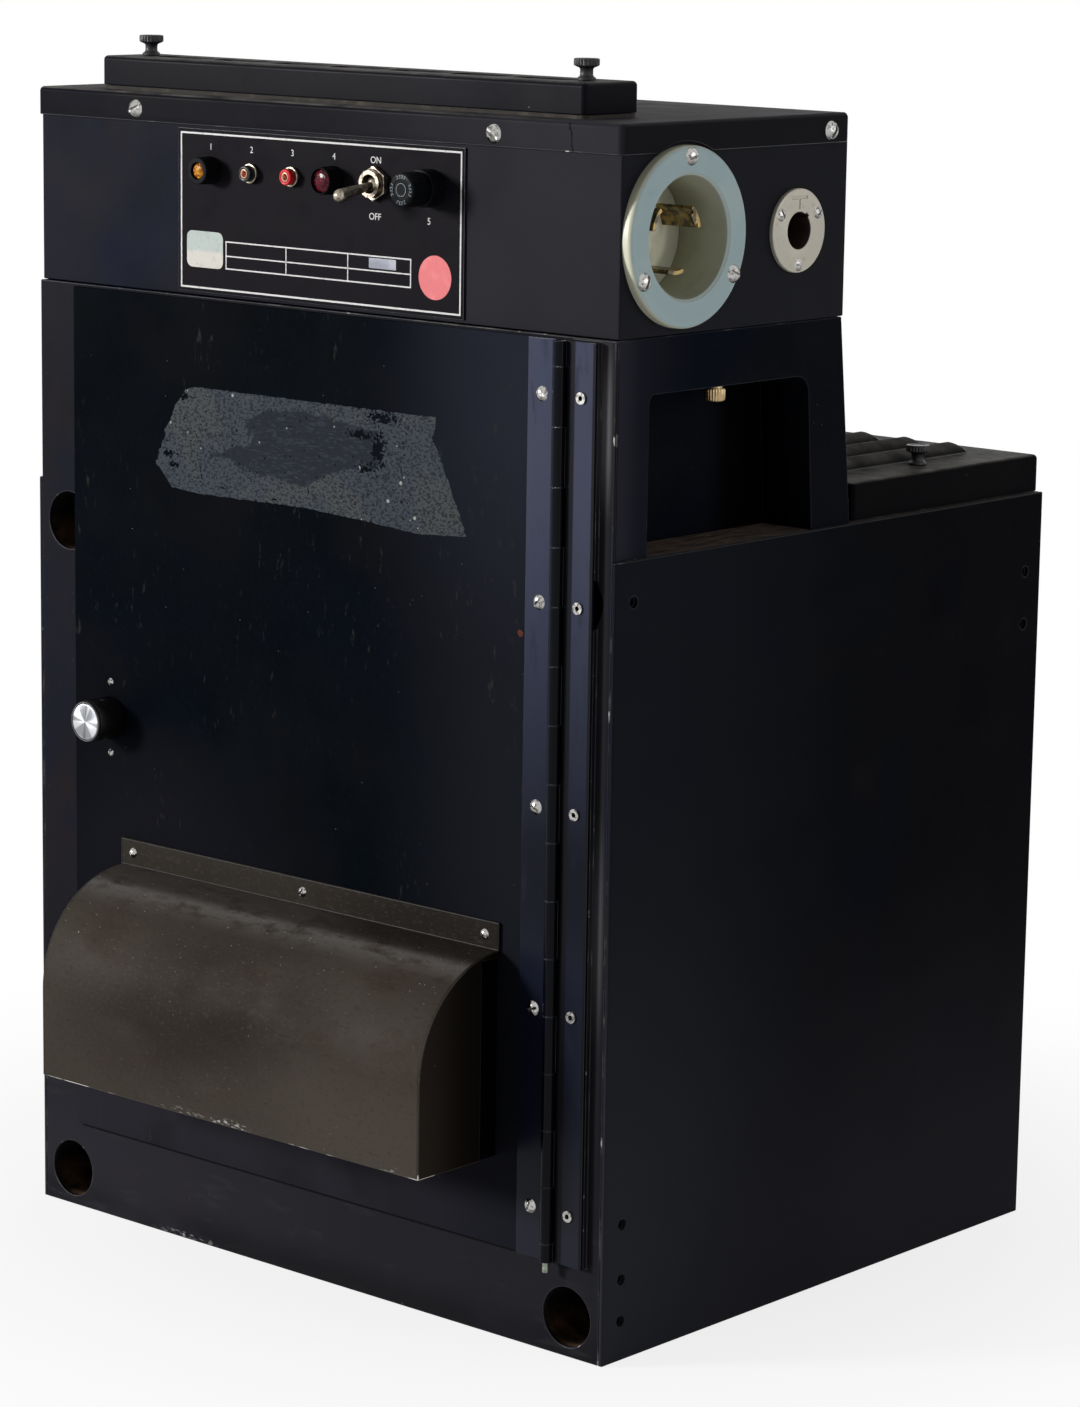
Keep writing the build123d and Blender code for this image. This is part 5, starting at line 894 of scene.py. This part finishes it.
# Painted highlights: bright and dark wedges by angle round the centre of the cap.
above_the_centre = spun.step("SUBTRACT", spun.along(upward), knob_place[2])
beside_the_centre = spun.step("SUBTRACT", spun.along(rightward), knob_place[0])
angle = spun.step("ARCTAN2", above_the_centre, beside_the_centre)
for times, turn, low, high, tone in (
    (2.0, 0.55, 0.0, 1.0, 0.64),
    (3.0, 2.2, 0.5, 0.95, 0.70),
    (4.0, 0.4, 0.7, 1.0, 0.14),
):
    painted_highlight_fan = spun.step("COSINE", spun.step("ADD", spun.step("MULTIPLY", angle, times), turn), 0.0)
    spun.tint(spun.between(painted_highlight_fan, low, high), (tone, tone * 1.01, tone * 1.04), 0.75)
lathe_lines = spun.step("SINE", spun.step("MULTIPLY", spun.reach(knob_place, (1, 0, 1)), 40.0), 0.0)
spun.relief(lathe_lines, 0.002)
cap_profile = [
    (0, 15.05), (8.45, 15.05), (8.5, 15.6), (8.35, 15.85), (8.1, 15.9),
    (7.95, 15.82), (7.8, 15.86), (0.5, 15.86), (0, 15.8),
]
fitted(
    turned(cap_profile, knob_place, forward, sides=96),
    "latch_cap_spun",
    spun,
    "latch",
    "spun_aluminium",
    "knob_cap",
)
zinc_steel = Finish("zinc plated steel", (0.42, 0.43, 0.42), 0.34, metal=1.0)
zinc_steel.tint(zinc_steel.clouds(12, 0.45, 0.7, 5), (0.30, 0.31, 0.30))
zinc_steel.tint(zinc_steel.clouds(5, 0.62, 0.75, 6, seed=3), (0.14, 0.11, 0.08), 0.7)
zinc_steel.dull(zinc_steel.clouds(9, 0.4, 0.7, 4, seed=5), 0.5)
zinc_steel.relief(zinc_steel.mottle(1.2, 4), 0.02)
for node in ("latch_body", "latch_cam"):
    broken_edges(node, 0.3, zinc_steel)

# Control panel. A thin plate, anodised black and printed in white.
# It carries the lights, the jacks, the switch and the fuse.
# A pale label, a stamped silver label and a pink paper dot are stuck on it.
plate_front = -153.6
controls_height = 501
plate_black = Finish("anodised plate black", (0.0068, 0.0056, 0.0080), 0.4, shine=0.02)
plate_black.tint(plate_black.clouds(22, 0.45, 0.75, 5), (0.0066, 0.0060, 0.0076))
plate_black.tint(plate_black.dots(3.2, 0.12, 0.12, seed=2), (0.10, 0.095, 0.10))
plate_black.dull(plate_black.clouds(12, 0.4, 0.7, 4, seed=5), 0.55)
plate_black.relief(plate_black.mottle(0.7, 2), 0.004)
plate_edge = Finish("plate bright edge", (0.055, 0.055, 0.06), 0.35, shine=0.3)
plate_edge.tint(plate_edge.clouds(6, 0.5, 0.7, 5), (0.16, 0.16, 0.165), 0.8)
broken_edges("control_panel", 0.18, plate_black, plate_edge)

print_shape = bmesh.new()
print_thickness = 0.05
font_size_to_capital = 1.38


def print_bar(left, low, right, high):
    """One printed line or patch on the plate."""
    front, back = plate_front - print_thickness, plate_front + 0.02
    corners = [(left, low), (right, low), (right, high), (left, high)]
    face = [print_shape.verts.new((x * mm, front * mm, z * mm)) for x, z in corners]
    foot = [print_shape.verts.new((x * mm, back * mm, z * mm)) for x, z in corners]
    print_shape.faces.new(face)
    for i in range(4):
        print_shape.faces.new((face[i], foot[i], foot[(i + 1) % 4], face[(i + 1) % 4]))


def print_frame(left, low, right, high, line):
    """Four printed lines round a rectangle."""
    print_bar(left, low, right, low + line)
    print_bar(left, high - line, right, high)
    print_bar(left, low + line, left + line, high - line)
    print_bar(right - line, low + line, right, high - line)


def print_words(words, x, z, height):
    """Plain capitals or numbers of a given height, centred at a place on the plate."""
    sign = bpy.data.curves.new("sign", "FONT")
    sign.body = words
    sign.align_x = "CENTER"
    sign.align_y = "CENTER"
    sign.size = height * font_size_to_capital * mm
    sign.extrude = print_thickness / 2 * mm
    stand = bpy.data.objects.new("sign", sign)
    place = Matrix.Translation((x * mm, (plate_front - print_thickness / 2) * mm, z * mm))
    stand.matrix_world = place @ Matrix.Rotation(pi / 2, 4, "X")
    letters = bpy.data.meshes.new_from_object(stand)
    letters.transform(stand.matrix_world)
    print_shape.from_mesh(letters)
    for old, kept_in in ((stand, bpy.data.objects), (sign, bpy.data.curves), (letters, bpy.data.meshes)):
        kept_in.remove(old)


border = (-83, 447.7, 88, 517.4)
empty_table = (-54.4, 457.4, 59, 470)
print_frame(*border, 0.8)
print_frame(*empty_table, 0.6)
print_bar(-53.8, 463.05, 58.4, 463.6)
print_bar(-16.8, 458.0, -16.25, 469.4)
print_bar(20.95, 458.0, 21.5, 469.4)
print_words("ON", 37.7, 510.9, 3.0)
print_words("OFF", 37.4, 486.6, 3.0)
for number, x, z in (
    ("1", -63.7, 511.2),
    ("2", -38.1, 511.2),
    ("3", -12.7, 511.2),
    ("4", 12.6, 511.2),
    ("5", 69.2, 486.6),
):
    print_words(number, x, z, 3.0)
print_white = Finish("white print", (0.60, 0.59, 0.58), 0.55, shine=0.3)
print_white.tint(print_white.clouds(2.2, 0.55, 0.75, 5), (0.34, 0.335, 0.33), 0.8)
print_white.tint(print_white.clouds(0.7, 0.64, 0.72, 4, seed=4), (0.05, 0.05, 0.052), 0.8)
print_white.relief(print_white.mottle(0.4, 2), 0.01)
fitted(print_shape, "panel_printing", print_white, "housing", "panel_plate")


def sticker(name, outline, finish, rise=0.12):
    """A thin label with rounded edges, pressed on the plate."""
    shape = bmesh.new()
    low = [shape.verts.new((x * mm, (plate_front - 0.01) * mm, z * mm)) for x, z in outline]
    high = [shape.verts.new((x * mm, (plate_front - rise) * mm, z * mm)) for x, z in outline]
    for i in range(len(outline)):
        j = (i + 1) % len(outline)
        shape.faces.new((low[i], high[i], high[j], low[j]))
    shape.faces.new(high)
    bmesh.ops.recalc_face_normals(shape, faces=shape.faces)
    return fitted(shape, name, finish, "housing", "panel_plate")


def rounded_outline(left, low, right, high, corner, steps=6):
    """The outline of a rectangle with rounded corners."""
    outline = []
    for x, z, start in ((right, high, 0), (left, high, 90), (left, low, 180), (right, low, 270)):
        cx = x - corner if x == right else x + corner
        cz = z - corner if z == high else z + corner
        for i in range(steps + 1):
            turn = radians(start + 90 * i / steps)
            outline.append((cx + corner * cos(turn), cz + corner * sin(turn)))
    return outline


pale_paper = Finish("aged pale label", (0.52, 0.49, 0.44), 0.6, shine=0.3)
teal_wash = pale_paper.across(upward, 463.5, 465.5)
pale_paper.tint(teal_wash, (0.36, 0.42, 0.40), 0.9)
pale_paper.tint(pale_paper.clouds(3, 0.5, 0.7, 6), (0.30, 0.32, 0.30), 0.5)
pale_paper.tint(pale_paper.clouds(1.1, 0.62, 0.7, 4, seed=6), (0.58, 0.57, 0.53), 0.7)
pale_paper.relief(pale_paper.mottle(1.2, 4), 0.03)
sticker("pale_label", rounded_outline(-79, 457.2, -56, 473.5, 3.2), pale_paper)
stamped_silver = Finish("silver label", (0.15, 0.155, 0.175), 0.4, metal=0.8)
stamped_silver.tint(stamped_silver.clouds(9, 0.35, 0.70, 2, (1.6, 1, 1)), (0.085, 0.090, 0.105), 0.8)
stamped_silver.relief(stamped_silver.mottle(0.8, 3), 0.04)
sticker("silver_label", rounded_outline(34, 464.4, 50.1, 468.9, 0.5), stamped_silver)
pink_paper = Finish("pink paper dot", (0.66, 0.155, 0.165), 0.62, shine=0.25)
pink_paper.tint(pink_paper.clouds(7, 0.45, 0.75, 5), (0.74, 0.22, 0.22), 0.7)
pink_paper.tint(pink_paper.clouds(1.2, 0.64, 0.72, 4, seed=6), (0.45, 0.09, 0.10), 0.6)
pink_paper.relief(pink_paper.mottle(0.9, 4), 0.02)
dot_outline = [(73 + 9.5 * cos(2 * pi * i / 64), 462.9 + 9.5 * sin(2 * pi * i / 64)) for i in range(64)]
sticker("pink_dot", dot_outline, pink_paper)

# Pilot lights. Each is a ribbed black plastic bezel with a coloured lens sunk in its mouth.
# The lenses are pressed with facets. Their centres are painted lighter, as painted light standing in for the
# bright lamp cup behind them, and their rims are darker.
black_plastic = Finish("black plastic", (0.0034, 0.0040, 0.0054), 0.30, shine=0.045)
black_plastic.tint(black_plastic.clouds(2, 0.5, 0.75, 5), (0.016, 0.0155, 0.015), 0.6)
black_plastic.dull(black_plastic.clouds(4, 0.4, 0.7, 4, seed=4), 0.5)
black_plastic.relief(black_plastic.mottle(0.6, 3), 0.008)
bezels = bmesh.new()
for x, mouth in ((-63.5, 3.8), (12.7, 5.3)):
    bezel_profile = [
        (0, -20), (5, -20), (5, 0), (6.1, 0), (6.25, 0.5, "rib"), (6.05, 7.6, "rib"), (5.95, 8.3), (5.8, 8.8),
        (5.6, 9.0), (mouth + 0.15, 9.0), (mouth, 8.85), (mouth, 1.4), (0, 1.4),
    ]
    one = turned(bezel_profile, (x, plate_front, controls_height), forward, 24, 0.4)
    ready = bpy.data.meshes.new("bezel")
    one.to_mesh(ready)
    one.free()
    bezels.from_mesh(ready)
    bpy.data.meshes.remove(ready)
fitted(bezels, "pilot_bezels_ribbed", black_plastic, "housing", "black_plastic", "pilot_bezels")
for name, x, radius, deep, light, glass in (
    ("amber", -63.5, 3.75, (0.20, 0.050, 0.006), (0.78, 0.36, 0.02), "amber_lens"),
    ("red", 12.7, 5.25, (0.024, 0.001, 0.003), (0.13, 0.004, 0.018), "red_lens"),
):
    lens = Finish(name + " pressed glass", deep, 0.16, shine=0.14)
    lens.tint(lens.clouds(1.5, 0.46, 0.66, 3, seed=3), light)
    from_centre = lens.reach((x, plate_front, controls_height), (1, 0, 1))
    # Painted light in the middle of the lens; the rim is darker.
    lens.tint(lens.between(from_centre, radius * 0.55, radius * 0.30), light, 0.35)
    lens.tint(lens.between(from_centre, radius * 0.86, radius), [c * 0.35 for c in deep], 0.9)
    lens.relief(lens.mottle(1.1, 2, seed=5), 0.12)
    lens_profile = [
        (0, 1.45), (radius, 1.45), (radius, 7.2),
        (radius * 0.90, 7.9), (radius * 0.62, 8.45), (radius * 0.3, 8.75), (0, 8.8),
    ]
    glass_shape = turned(lens_profile, (x, plate_front, controls_height), forward, sides=14)
    fitted(glass_shape, name + "_faceted_lens", lens, "housing", glass, name + "_pilot_lens", corner=6)

# Test jacks. Moulded barrels, one black and one red, with a brass liner and a ring nut each.
# Their fronts are rounded off and rubbed by the probes.
red_plastic = Finish("red moulding", (0.56, 0.014, 0.020), 0.3, shine=0.25)
red_plastic.tint(red_plastic.clouds(2, 0.5, 0.75, 4), (0.75, 0.08, 0.07), 0.6)
red_plastic.relief(red_plastic.mottle(0.6, 3), 0.01)
jack_black = Finish("black moulding", (0.0062, 0.0062, 0.0075), 0.3, shine=0.4)
jack_black.tint(jack_black.clouds(1.8, 0.5, 0.75, 4), (0.02, 0.019, 0.019), 0.6)
jack_black.relief(jack_black.mottle(0.6, 3), 0.01)
broken_edges("red_test_jack", 0.7, red_plastic)
broken_edges("black_test_jack", 0.7, jack_black)
liner_profile = [(1.35, -6), (1.35, 4.7), (1.5, 4.95), (1.75, 5.05), (2.04, 4.95), (2.04, -6), (1.35, -6)]
copper = Finish("worn brass liner", (0.62, 0.36, 0.26), 0.3, metal=0.9)
copper.tint(copper.clouds(1.2, 0.5, 0.7, 4), (0.36, 0.20, 0.14), 0.8)
copper.relief(copper.mottle(0.5, 3), 0.01)
for name, x in (("black", -38.1), ("red", -12.7)):
    fitted(
        turned(liner_profile, (x, plate_front, controls_height), forward, sides=40),
        name + "_jack_liner",
        copper,
        "housing",
        "brass",
    )
broken_edges("panel_nuts", 0.3, warm_nickel)

# Fuse holder. A flanged barrel of black phenolic, and a ribbed cap that is pressed, turned and drawn out.
# The cap's face has a ring of short printed strokes in four groups.
broken_edges("fuse_holder", 0.4, black_plastic)
fuse_place = (69.9, -161.4, controls_height)
cap_ribs = [
    (0, -8), (3.7, -8), (3.7, 0), (6.7, 0), (6.9, 0.9), (7.3, 1.0), (7.5, 1.4, "rib"), (7.4, 9.4, "rib"),
    (7.1, 10.0), (6.6, 10.6), (6.3, 10.7), (4.6, 10.7), (4.4, 10.45), (3.2, 10.45), (3.0, 10.7), (0, 10.7),
]
fitted(
    turned(cap_ribs, fuse_place, forward, 30, 0.45),
    "fuse_cap_ribbed",
    black_plastic,
    "fuse_knob",
    "black_plastic",
    "fuse_cap",
)
strokes = bmesh.new()
cap_face = -172.13


def on_the_cap(out, side, turn):
    """A new point on the face of the cap, so far out and to the side along a turned radius."""
    x = fuse_place[0] + out * cos(turn) - side * sin(turn)
    z = fuse_place[2] + out * sin(turn) + side * cos(turn)
    return strokes.verts.new((x * mm, cap_face * mm, z * mm))


for group in range(4):
    for i in range(4):
        bars = [(0, 4.75, 6.35, 0.16), (3.0, 4.75, 5.05, 0.42)]
        if i % 2:
            bars.append((3.0, 6.05, 6.35, 0.42))
        for further, inner, outer, half in bars:
            turn = radians(90 * group + 14.5 * i - 22 + further)
            corners = ((inner, -half), (outer, -half), (outer, half), (inner, half))
            strokes.faces.new([on_the_cap(out, side, turn) for out, side in corners])
for i in range(48):
    corners = ((2.9, i), (2.9, i + 1), (2.6, i + 1), (2.6, i))
    strokes.faces.new([on_the_cap(out, 0, 2 * pi * step / 48) for out, step in corners])
bmesh.ops.remove_doubles(strokes, verts=strokes.verts, dist=0.001 * mm)
fuse_print = Finish("worn white print", (0.19, 0.225, 0.245), 0.6, shine=0.2)
fuse_print.tint(fuse_print.clouds(0.9, 0.52, 0.68, 4), (0.045, 0.052, 0.058), 0.8)
fuse_print.relief(fuse_print.mottle(0.4, 2), 0.01)
fitted(strokes, "fuse_cap_print", fuse_print, "fuse_knob", "black_plastic")
fuse_glass = Finish("fuse glass", (0.82, 0.86, 0.85), 0.06, shine=0.5)
fuse_glass.shader.inputs["Transmission Weight"].default_value = 0.7
ends = fuse_glass.either_side(backward, -137.5)
fuse_glass.tint(fuse_glass.between(ends, 9.0, 9.2), (0.75, 0.73, 0.68))
fuse_glass.relief(fuse_glass.mottle(1.5, 2), 0.01)
coat("fuse_cartridge", fuse_glass)

# Power inlet. A flanged cup of white nylon, gone pale blue on the face and cream at the rim and inside.
# Three curved blades of brass, browned by years of use, stand on an insert at the bottom.
inlet_axis = (0, -113.7, 485.2)
nylon = Finish("aged nylon", (0.36, 0.48, 0.50), 0.38, shine=0.4)
nylon.tint(nylon.clouds(26, 0.4, 0.7, 4), (0.40, 0.51, 0.51))
nylon.tint(nylon.clouds(6, 0.6, 0.8, 5, seed=4), (0.24, 0.32, 0.33), 0.5)
from_axis = nylon.reach(inlet_axis, (0, 1, 1))
nylon.tint(nylon.between(from_axis, 37.3, 38.1), (0.60, 0.60, 0.46))
nylon.tint(nylon.between(from_axis, 27.9, 26.4), (0.46, 0.53, 0.50))
inside = nylon.overlap(nylon.between(from_axis, 26.3, 26.05), nylon.across(rightward, 179.6, 177.5))
nylon.tint(inside, (0.50, 0.51, 0.39))
soot = nylon.overlap(inside, nylon.clouds(16, 0.45, 0.80, 4, seed=7))
nylon.tint(soot, (0.20, 0.19, 0.13), 0.35)
# Darker deeper in the cup: partly brown dirt, partly painted shade.
nylon.tint(nylon.overlap(inside, nylon.across(rightward, 172.0, 147.0)), (0.27, 0.26, 0.17), 0.75)
nylon.tint(nylon.dots(5, 0.2, 0.12, seed=2), (0.16, 0.17, 0.16))
nylon.dull(nylon.clouds(20, 0.4, 0.7, 4, seed=8), 0.5)
nylon.relief(nylon.mottle(1.6, 3), 0.012)
coat("inlet_flange", nylon)
ivory = Finish("ivory moulding", (0.74, 0.73, 0.58), 0.45, shine=0.4)
ivory.tint(ivory.clouds(7, 0.5, 0.75, 5), (0.40, 0.385, 0.28), 0.6)
ivory.tint(ivory.between(ivory.reach(inlet_axis, (0, 1, 1)), 15.5, 19.5), (0.33, 0.33, 0.25), 0.7)
ivory.relief(ivory.mottle(1.2, 3), 0.02)
broken_edges("inlet_insert", 0.5, ivory)
browned_brass = Finish("browned brass", (0.40, 0.29, 0.12), 0.3, metal=1.0)
browned_brass.tint(browned_brass.clouds(5, 0.40, 0.58, 5), (0.095, 0.085, 0.060))
browned_brass.tint(browned_brass.clouds(2.4, 0.60, 0.72, 4, seed=4), (0.62, 0.44, 0.14), 0.8)
browned_brass.dull(browned_brass.clouds(3, 0.4, 0.7, 4, seed=6), 0.5)
browned_brass.relief(browned_brass.mottle(1.0, 4), 0.03)
broken_edges("inlet_blades", 0.15, browned_brass)

# Signal socket. A satin nickel-silver plate with a keyed bore, screwed on from outside.
# A short groove and stroke over the bore mark which way up the plug goes.
satin = Finish("satin plate", (0.52, 0.49, 0.41), 0.42, metal=0.25, shine=0.5)
satin.tint(satin.clouds(16, 0.4, 0.7, 5), (0.60, 0.565, 0.48))
satin.tint(satin.clouds(3, 0.62, 0.76, 5, seed=4), (0.20, 0.18, 0.14), 0.6)
socket_axis = (0, -36.4, 483.8)
bore = satin.overlap(
    satin.between(satin.reach(socket_axis, (0, 1, 1)), 9.4, 9.2), satin.across(rightward, 178.0, 177.4)
)
satin.tint(bore, (0.020, 0.010, 0.008))
satin.bare(bore, 0.0)
satin.tint(satin.dots(3.4, 0.16, 0.12, seed=2), (0.07, 0.06, 0.05))
satin.dull(satin.clouds(9, 0.4, 0.7, 4, seed=8), 0.55)
satin.relief(satin.mottle(0.5, 3), 0.012)
broken_edges("socket_plate", 0.25, satin)

# Condenser. A square stepped lens of pressed glass, held behind the rear aperture in a rebated frame.
# Its rings are cut on the side that faces the lamp.
lens_centre = 175.4
half_lens = 132.0
step_top, step_foot, lens_back = 147.85, 149.2, 152.2
step_count = 44
round_sides = 96
step_width = half_lens * 2 ** 0.5 / step_count
lens_steps = bmesh.new()
rings = []
for i in range(2 * step_count + 1):
    r = step_width * (i // 2 + i % 2)
    y = step_top if i % 2 else step_foot
    turns = [2 * pi * j / round_sides for j in range(round_sides if i else 1)]
    rings.append([lens_steps.verts.new((r * cos(turn), y, r * sin(turn))) for turn in turns])
back_rim = [lens_steps.verts.new((point.co.x, lens_back, point.co.z)) for point in rings[-1]]
rings.append(back_rim)
for low, high in zip(rings, rings[1:]):
    for j in range(round_sides):
        k = (j + 1) % round_sides
        if len(low) == 1:
            lens_steps.faces.new((low[0], high[j], high[k]))
        else:
            lens_steps.faces.new((low[j], high[j], high[k], low[k]))
lens_steps.faces.new(list(reversed(back_rim)))
for outward in ((1, 0, 0), (-1, 0, 0), (0, 0, 1), (0, 0, -1)):
    geometry = lens_steps.verts[:] + lens_steps.edges[:] + lens_steps.faces[:]
    edge = Vector(outward) * half_lens
    cut = bmesh.ops.bisect_plane(lens_steps, geom=geometry, plane_co=edge, plane_no=outward, clear_outer=True)
    cut_edges = [e for e in cut["geom_cut"] if isinstance(e, bmesh.types.BMEdge)]
    bmesh.ops.holes_fill(lens_steps, edges=cut_edges, sides=0)
bmesh.ops.recalc_face_normals(lens_steps, faces=lens_steps.faces)
lens_steps.transform(Matrix.Scale(mm, 4) @ Matrix.Translation((0, 0, lens_centre)))
clear_glass = Finish("pressed lens glass", (0.86, 0.92, 0.90), 0.03, shine=0.5)
clear_glass.shader.inputs["Transmission Weight"].default_value = 1.0
clear_glass.shader.inputs["IOR"].default_value = 1.5
clear_glass.tint(clear_glass.clouds(70, 0.5, 0.8, 5), (0.74, 0.82, 0.79), 0.6)
clear_glass.dull(clear_glass.clouds(30, 0.5, 0.8, 6, seed=4), 0.14)
clear_glass.relief(clear_glass.mottle(25, 2), 0.04)
fitted(lens_steps, "stepped_condenser", clear_glass, "housing", "glass", "condenser_lens", corner=3)
broken_edges("lens_frame", 0.4, inner_black)

# Lamp. A quartz bulb on a two-pin ceramic base stands in its socket on the optical axis.
# Its coiled filament hangs between two stiff leads at the height of the condenser's centre.
lamp_y = -60
lamp_foot = (0, lamp_y, 135.8)
bulb_profile = [(10.0, 0), (12.6, 3.6), (15.4, 8.2), (16.0, 10.5), (16.0, 77.0)]
bulb_profile += [(16.0 * cos(radians(t)), 77.3 + 10.7 * sin(radians(t))) for t in (15, 35, 55, 72)]
bulb_profile.append((0, 88.0))
bulb_profile += [(15.0 * cos(radians(t)), 77.3 + 9.7 * sin(radians(t))) for t in (90, 72, 55, 35, 15, 0)][1:]
bulb_profile += [(15.0, 10.5), (14.4, 8.6), (11.6, 4.2), (9.2, 1.2), (0, 1.2)]
quartz = Finish("quartz", (0.95, 0.96, 0.97), 0.02, shine=0.5)
quartz.shader.inputs["Transmission Weight"].default_value = 1.0
quartz.tint(quartz.across(upward, 205.0, 224.0), (0.70, 0.69, 0.68))
quartz.relief(quartz.mottle(9, 2), 0.02)
bulb_glass = turned([(0, 0.0)] + bulb_profile, lamp_foot, upward, sides=64)
fitted(bulb_glass, "lamp_glass", quartz, "housing", "glass", "lamp_bulb", corner=50)
base_size = (38, 22, 21.8)
base_shape = bmesh.new()
bmesh.ops.create_cube(base_shape, size=1.0)
bmesh.ops.scale(base_shape, vec=base_size, verts=base_shape.verts)
upright = [e for e in base_shape.edges if abs((e.verts[0].co - e.verts[1].co).z) > 1]
bmesh.ops.bevel(base_shape, geom=upright, offset=3.0, segments=5, profile=0.5, affect="EDGES")
rims = [e for e in base_shape.edges if abs((e.verts[0].co - e.verts[1].co).z) < 1]
bmesh.ops.bevel(base_shape, geom=rims, offset=0.8, segments=2, profile=0.5, affect="EDGES")
bmesh.ops.translate(base_shape, vec=(0, lamp_y, 124.8), verts=base_shape.verts)
base_shape.transform(Matrix.Scale(mm, 4))
ceramic = Finish("lamp ceramic", (0.62, 0.59, 0.52), 0.6, shine=0.3)
ceramic.tint(ceramic.clouds(9, 0.45, 0.7, 5), (0.50, 0.46, 0.38), 0.7)
ceramic.tint(ceramic.clouds(3, 0.62, 0.75, 5, seed=3), (0.25, 0.20, 0.15), 0.5)
ceramic.relief(ceramic.mottle(1.1, 3), 0.03)
fitted(base_shape, "lamp_base", ceramic, "housing", "ceramic")
for name, x in (("left", -8), ("right", 8)):
    pin_profile = [(0, -12), (1.4, -11.9), (2.0, -11.2), (2.0, 0.3), (0, 0.3)]
    pin = turned(pin_profile, (x, lamp_y, 113.8), upward, sides=32)
    fitted(pin, "lamp_pin_" + name, zinc_steel, "housing", "steel")
tungsten = Finish("tungsten wire", (0.30, 0.30, 0.31), 0.35, metal=1.0)
tungsten.tint(tungsten.clouds(1.5, 0.45, 0.7, 3), (0.18, 0.18, 0.19))
tungsten.relief(tungsten.mottle(0.3, 2), 0.01)
coil_points = 160
lead = ((5.0, 136.6), (5.0, 150), (6.5, 158), (6.5, lens_centre))
wire_runs = [[(side * x, lamp_y, z) for x, z in lead] for side in (-1, 1)]
wire_runs.append([
    (-6.5 + 13.0 * i / coil_points, lamp_y + 2.2 * cos(i * 0.9), lens_centre + 2.2 * sin(i * 0.9))
    for i in range(coil_points + 1)
])
filament = bpy.data.curves.new("lamp_filament", "CURVE")
filament.dimensions = "3D"
filament.bevel_depth = 0.28 * mm
filament.bevel_resolution = 2
for run in wire_runs:
    wire = filament.splines.new("POLY")
    wire.points.add(len(run) - 1)
    for point, (x, y, z) in zip(wire.points, run):
        point.co = (x * mm, y * mm, z * mm, 1)
filament_wire = bpy.data.objects.new("lamp_filament", filament)
filament.materials.append(tungsten.material)
bpy.context.scene.collection.objects.link(filament_wire)
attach(filament_wire, "housing")
broken_edges("lamp_socket", 0.5, ceramic)

# Reflector and bracket. A spherical dish of polished aluminium stands behind the lamp.
# Its bent steel bracket is galvanised and screwed to the floor of the case.
mirror = Finish("polished dish", (0.80, 0.80, 0.81), 0.08, metal=1.0)
mirror.tint(mirror.clouds(18, 0.5, 0.75, 5), (0.62, 0.60, 0.56), 0.6)
mirror.dull(mirror.clouds(9, 0.45, 0.75, 5, seed=4), 0.25)
mirror.relief(mirror.mottle(1.4, 2), 0.006)
coat("reflector", mirror)
galvanised = Finish("galvanised steel", (0.44, 0.46, 0.46), 0.36, metal=1.0)
spangle = galvanised.tree.nodes.new("ShaderNodeTexVoronoi")
spangle.inputs["Scale"].default_value = 1.0
galvanised.tree.links.new(galvanised.spread(7, (1, 1, 1), 3), spangle.inputs["Vector"])
flake = galvanised.tree.nodes.new("ShaderNodeSeparateColor")
galvanised.tree.links.new(spangle.outputs["Color"], flake.inputs[0])
galvanised.tint(galvanised.between(flake.outputs[0], 0.2, 0.9), (0.30, 0.32, 0.33), 0.8)
galvanised.dull(galvanised.between(flake.outputs[1], 0.2, 0.9), 0.5)
galvanised.tint(galvanised.clouds(30, 0.55, 0.75, 6, seed=5), (0.16, 0.14, 0.12), 0.6)
galvanised.relief(galvanised.mottle(1.2, 3), 0.02)
broken_edges("lamp_bracket", 0.3, galvanised)

# Blower. A volute of galvanised sheet, a drum wheel with forward blades and a motor in a painted can.
# It stands on the floor at the left of the lamp and blows up past it.
broken_edges("blower_housing", 0.3, galvanised)
wheel_metal = Finish("pressed aluminium wheel", (0.56, 0.57, 0.57), 0.4, metal=1.0)
wheel_metal.tint(wheel_metal.clouds(16, 0.45, 0.7, 5), (0.36, 0.35, 0.33), 0.7)
wheel_metal.tint(wheel_metal.clouds(5, 0.58, 0.72, 6, seed=3), (0.16, 0.14, 0.12), 0.6)
wheel_metal.relief(wheel_metal.mottle(1.2, 3), 0.02)
coat("blower_wheel", wheel_metal)
motor_grey = Finish("motor hammered grey", (0.045, 0.050, 0.055), 0.35, shine=0.5)
motor_grey.tint(motor_grey.clouds(6, 0.45, 0.6, 4), (0.075, 0.082, 0.088), 0.8)
motor_grey.relief(motor_grey.clouds(3.2, 0.4, 0.6, 3, seed=5), 0.12)
broken_edges("blower_motor", 0.6, motor_grey)
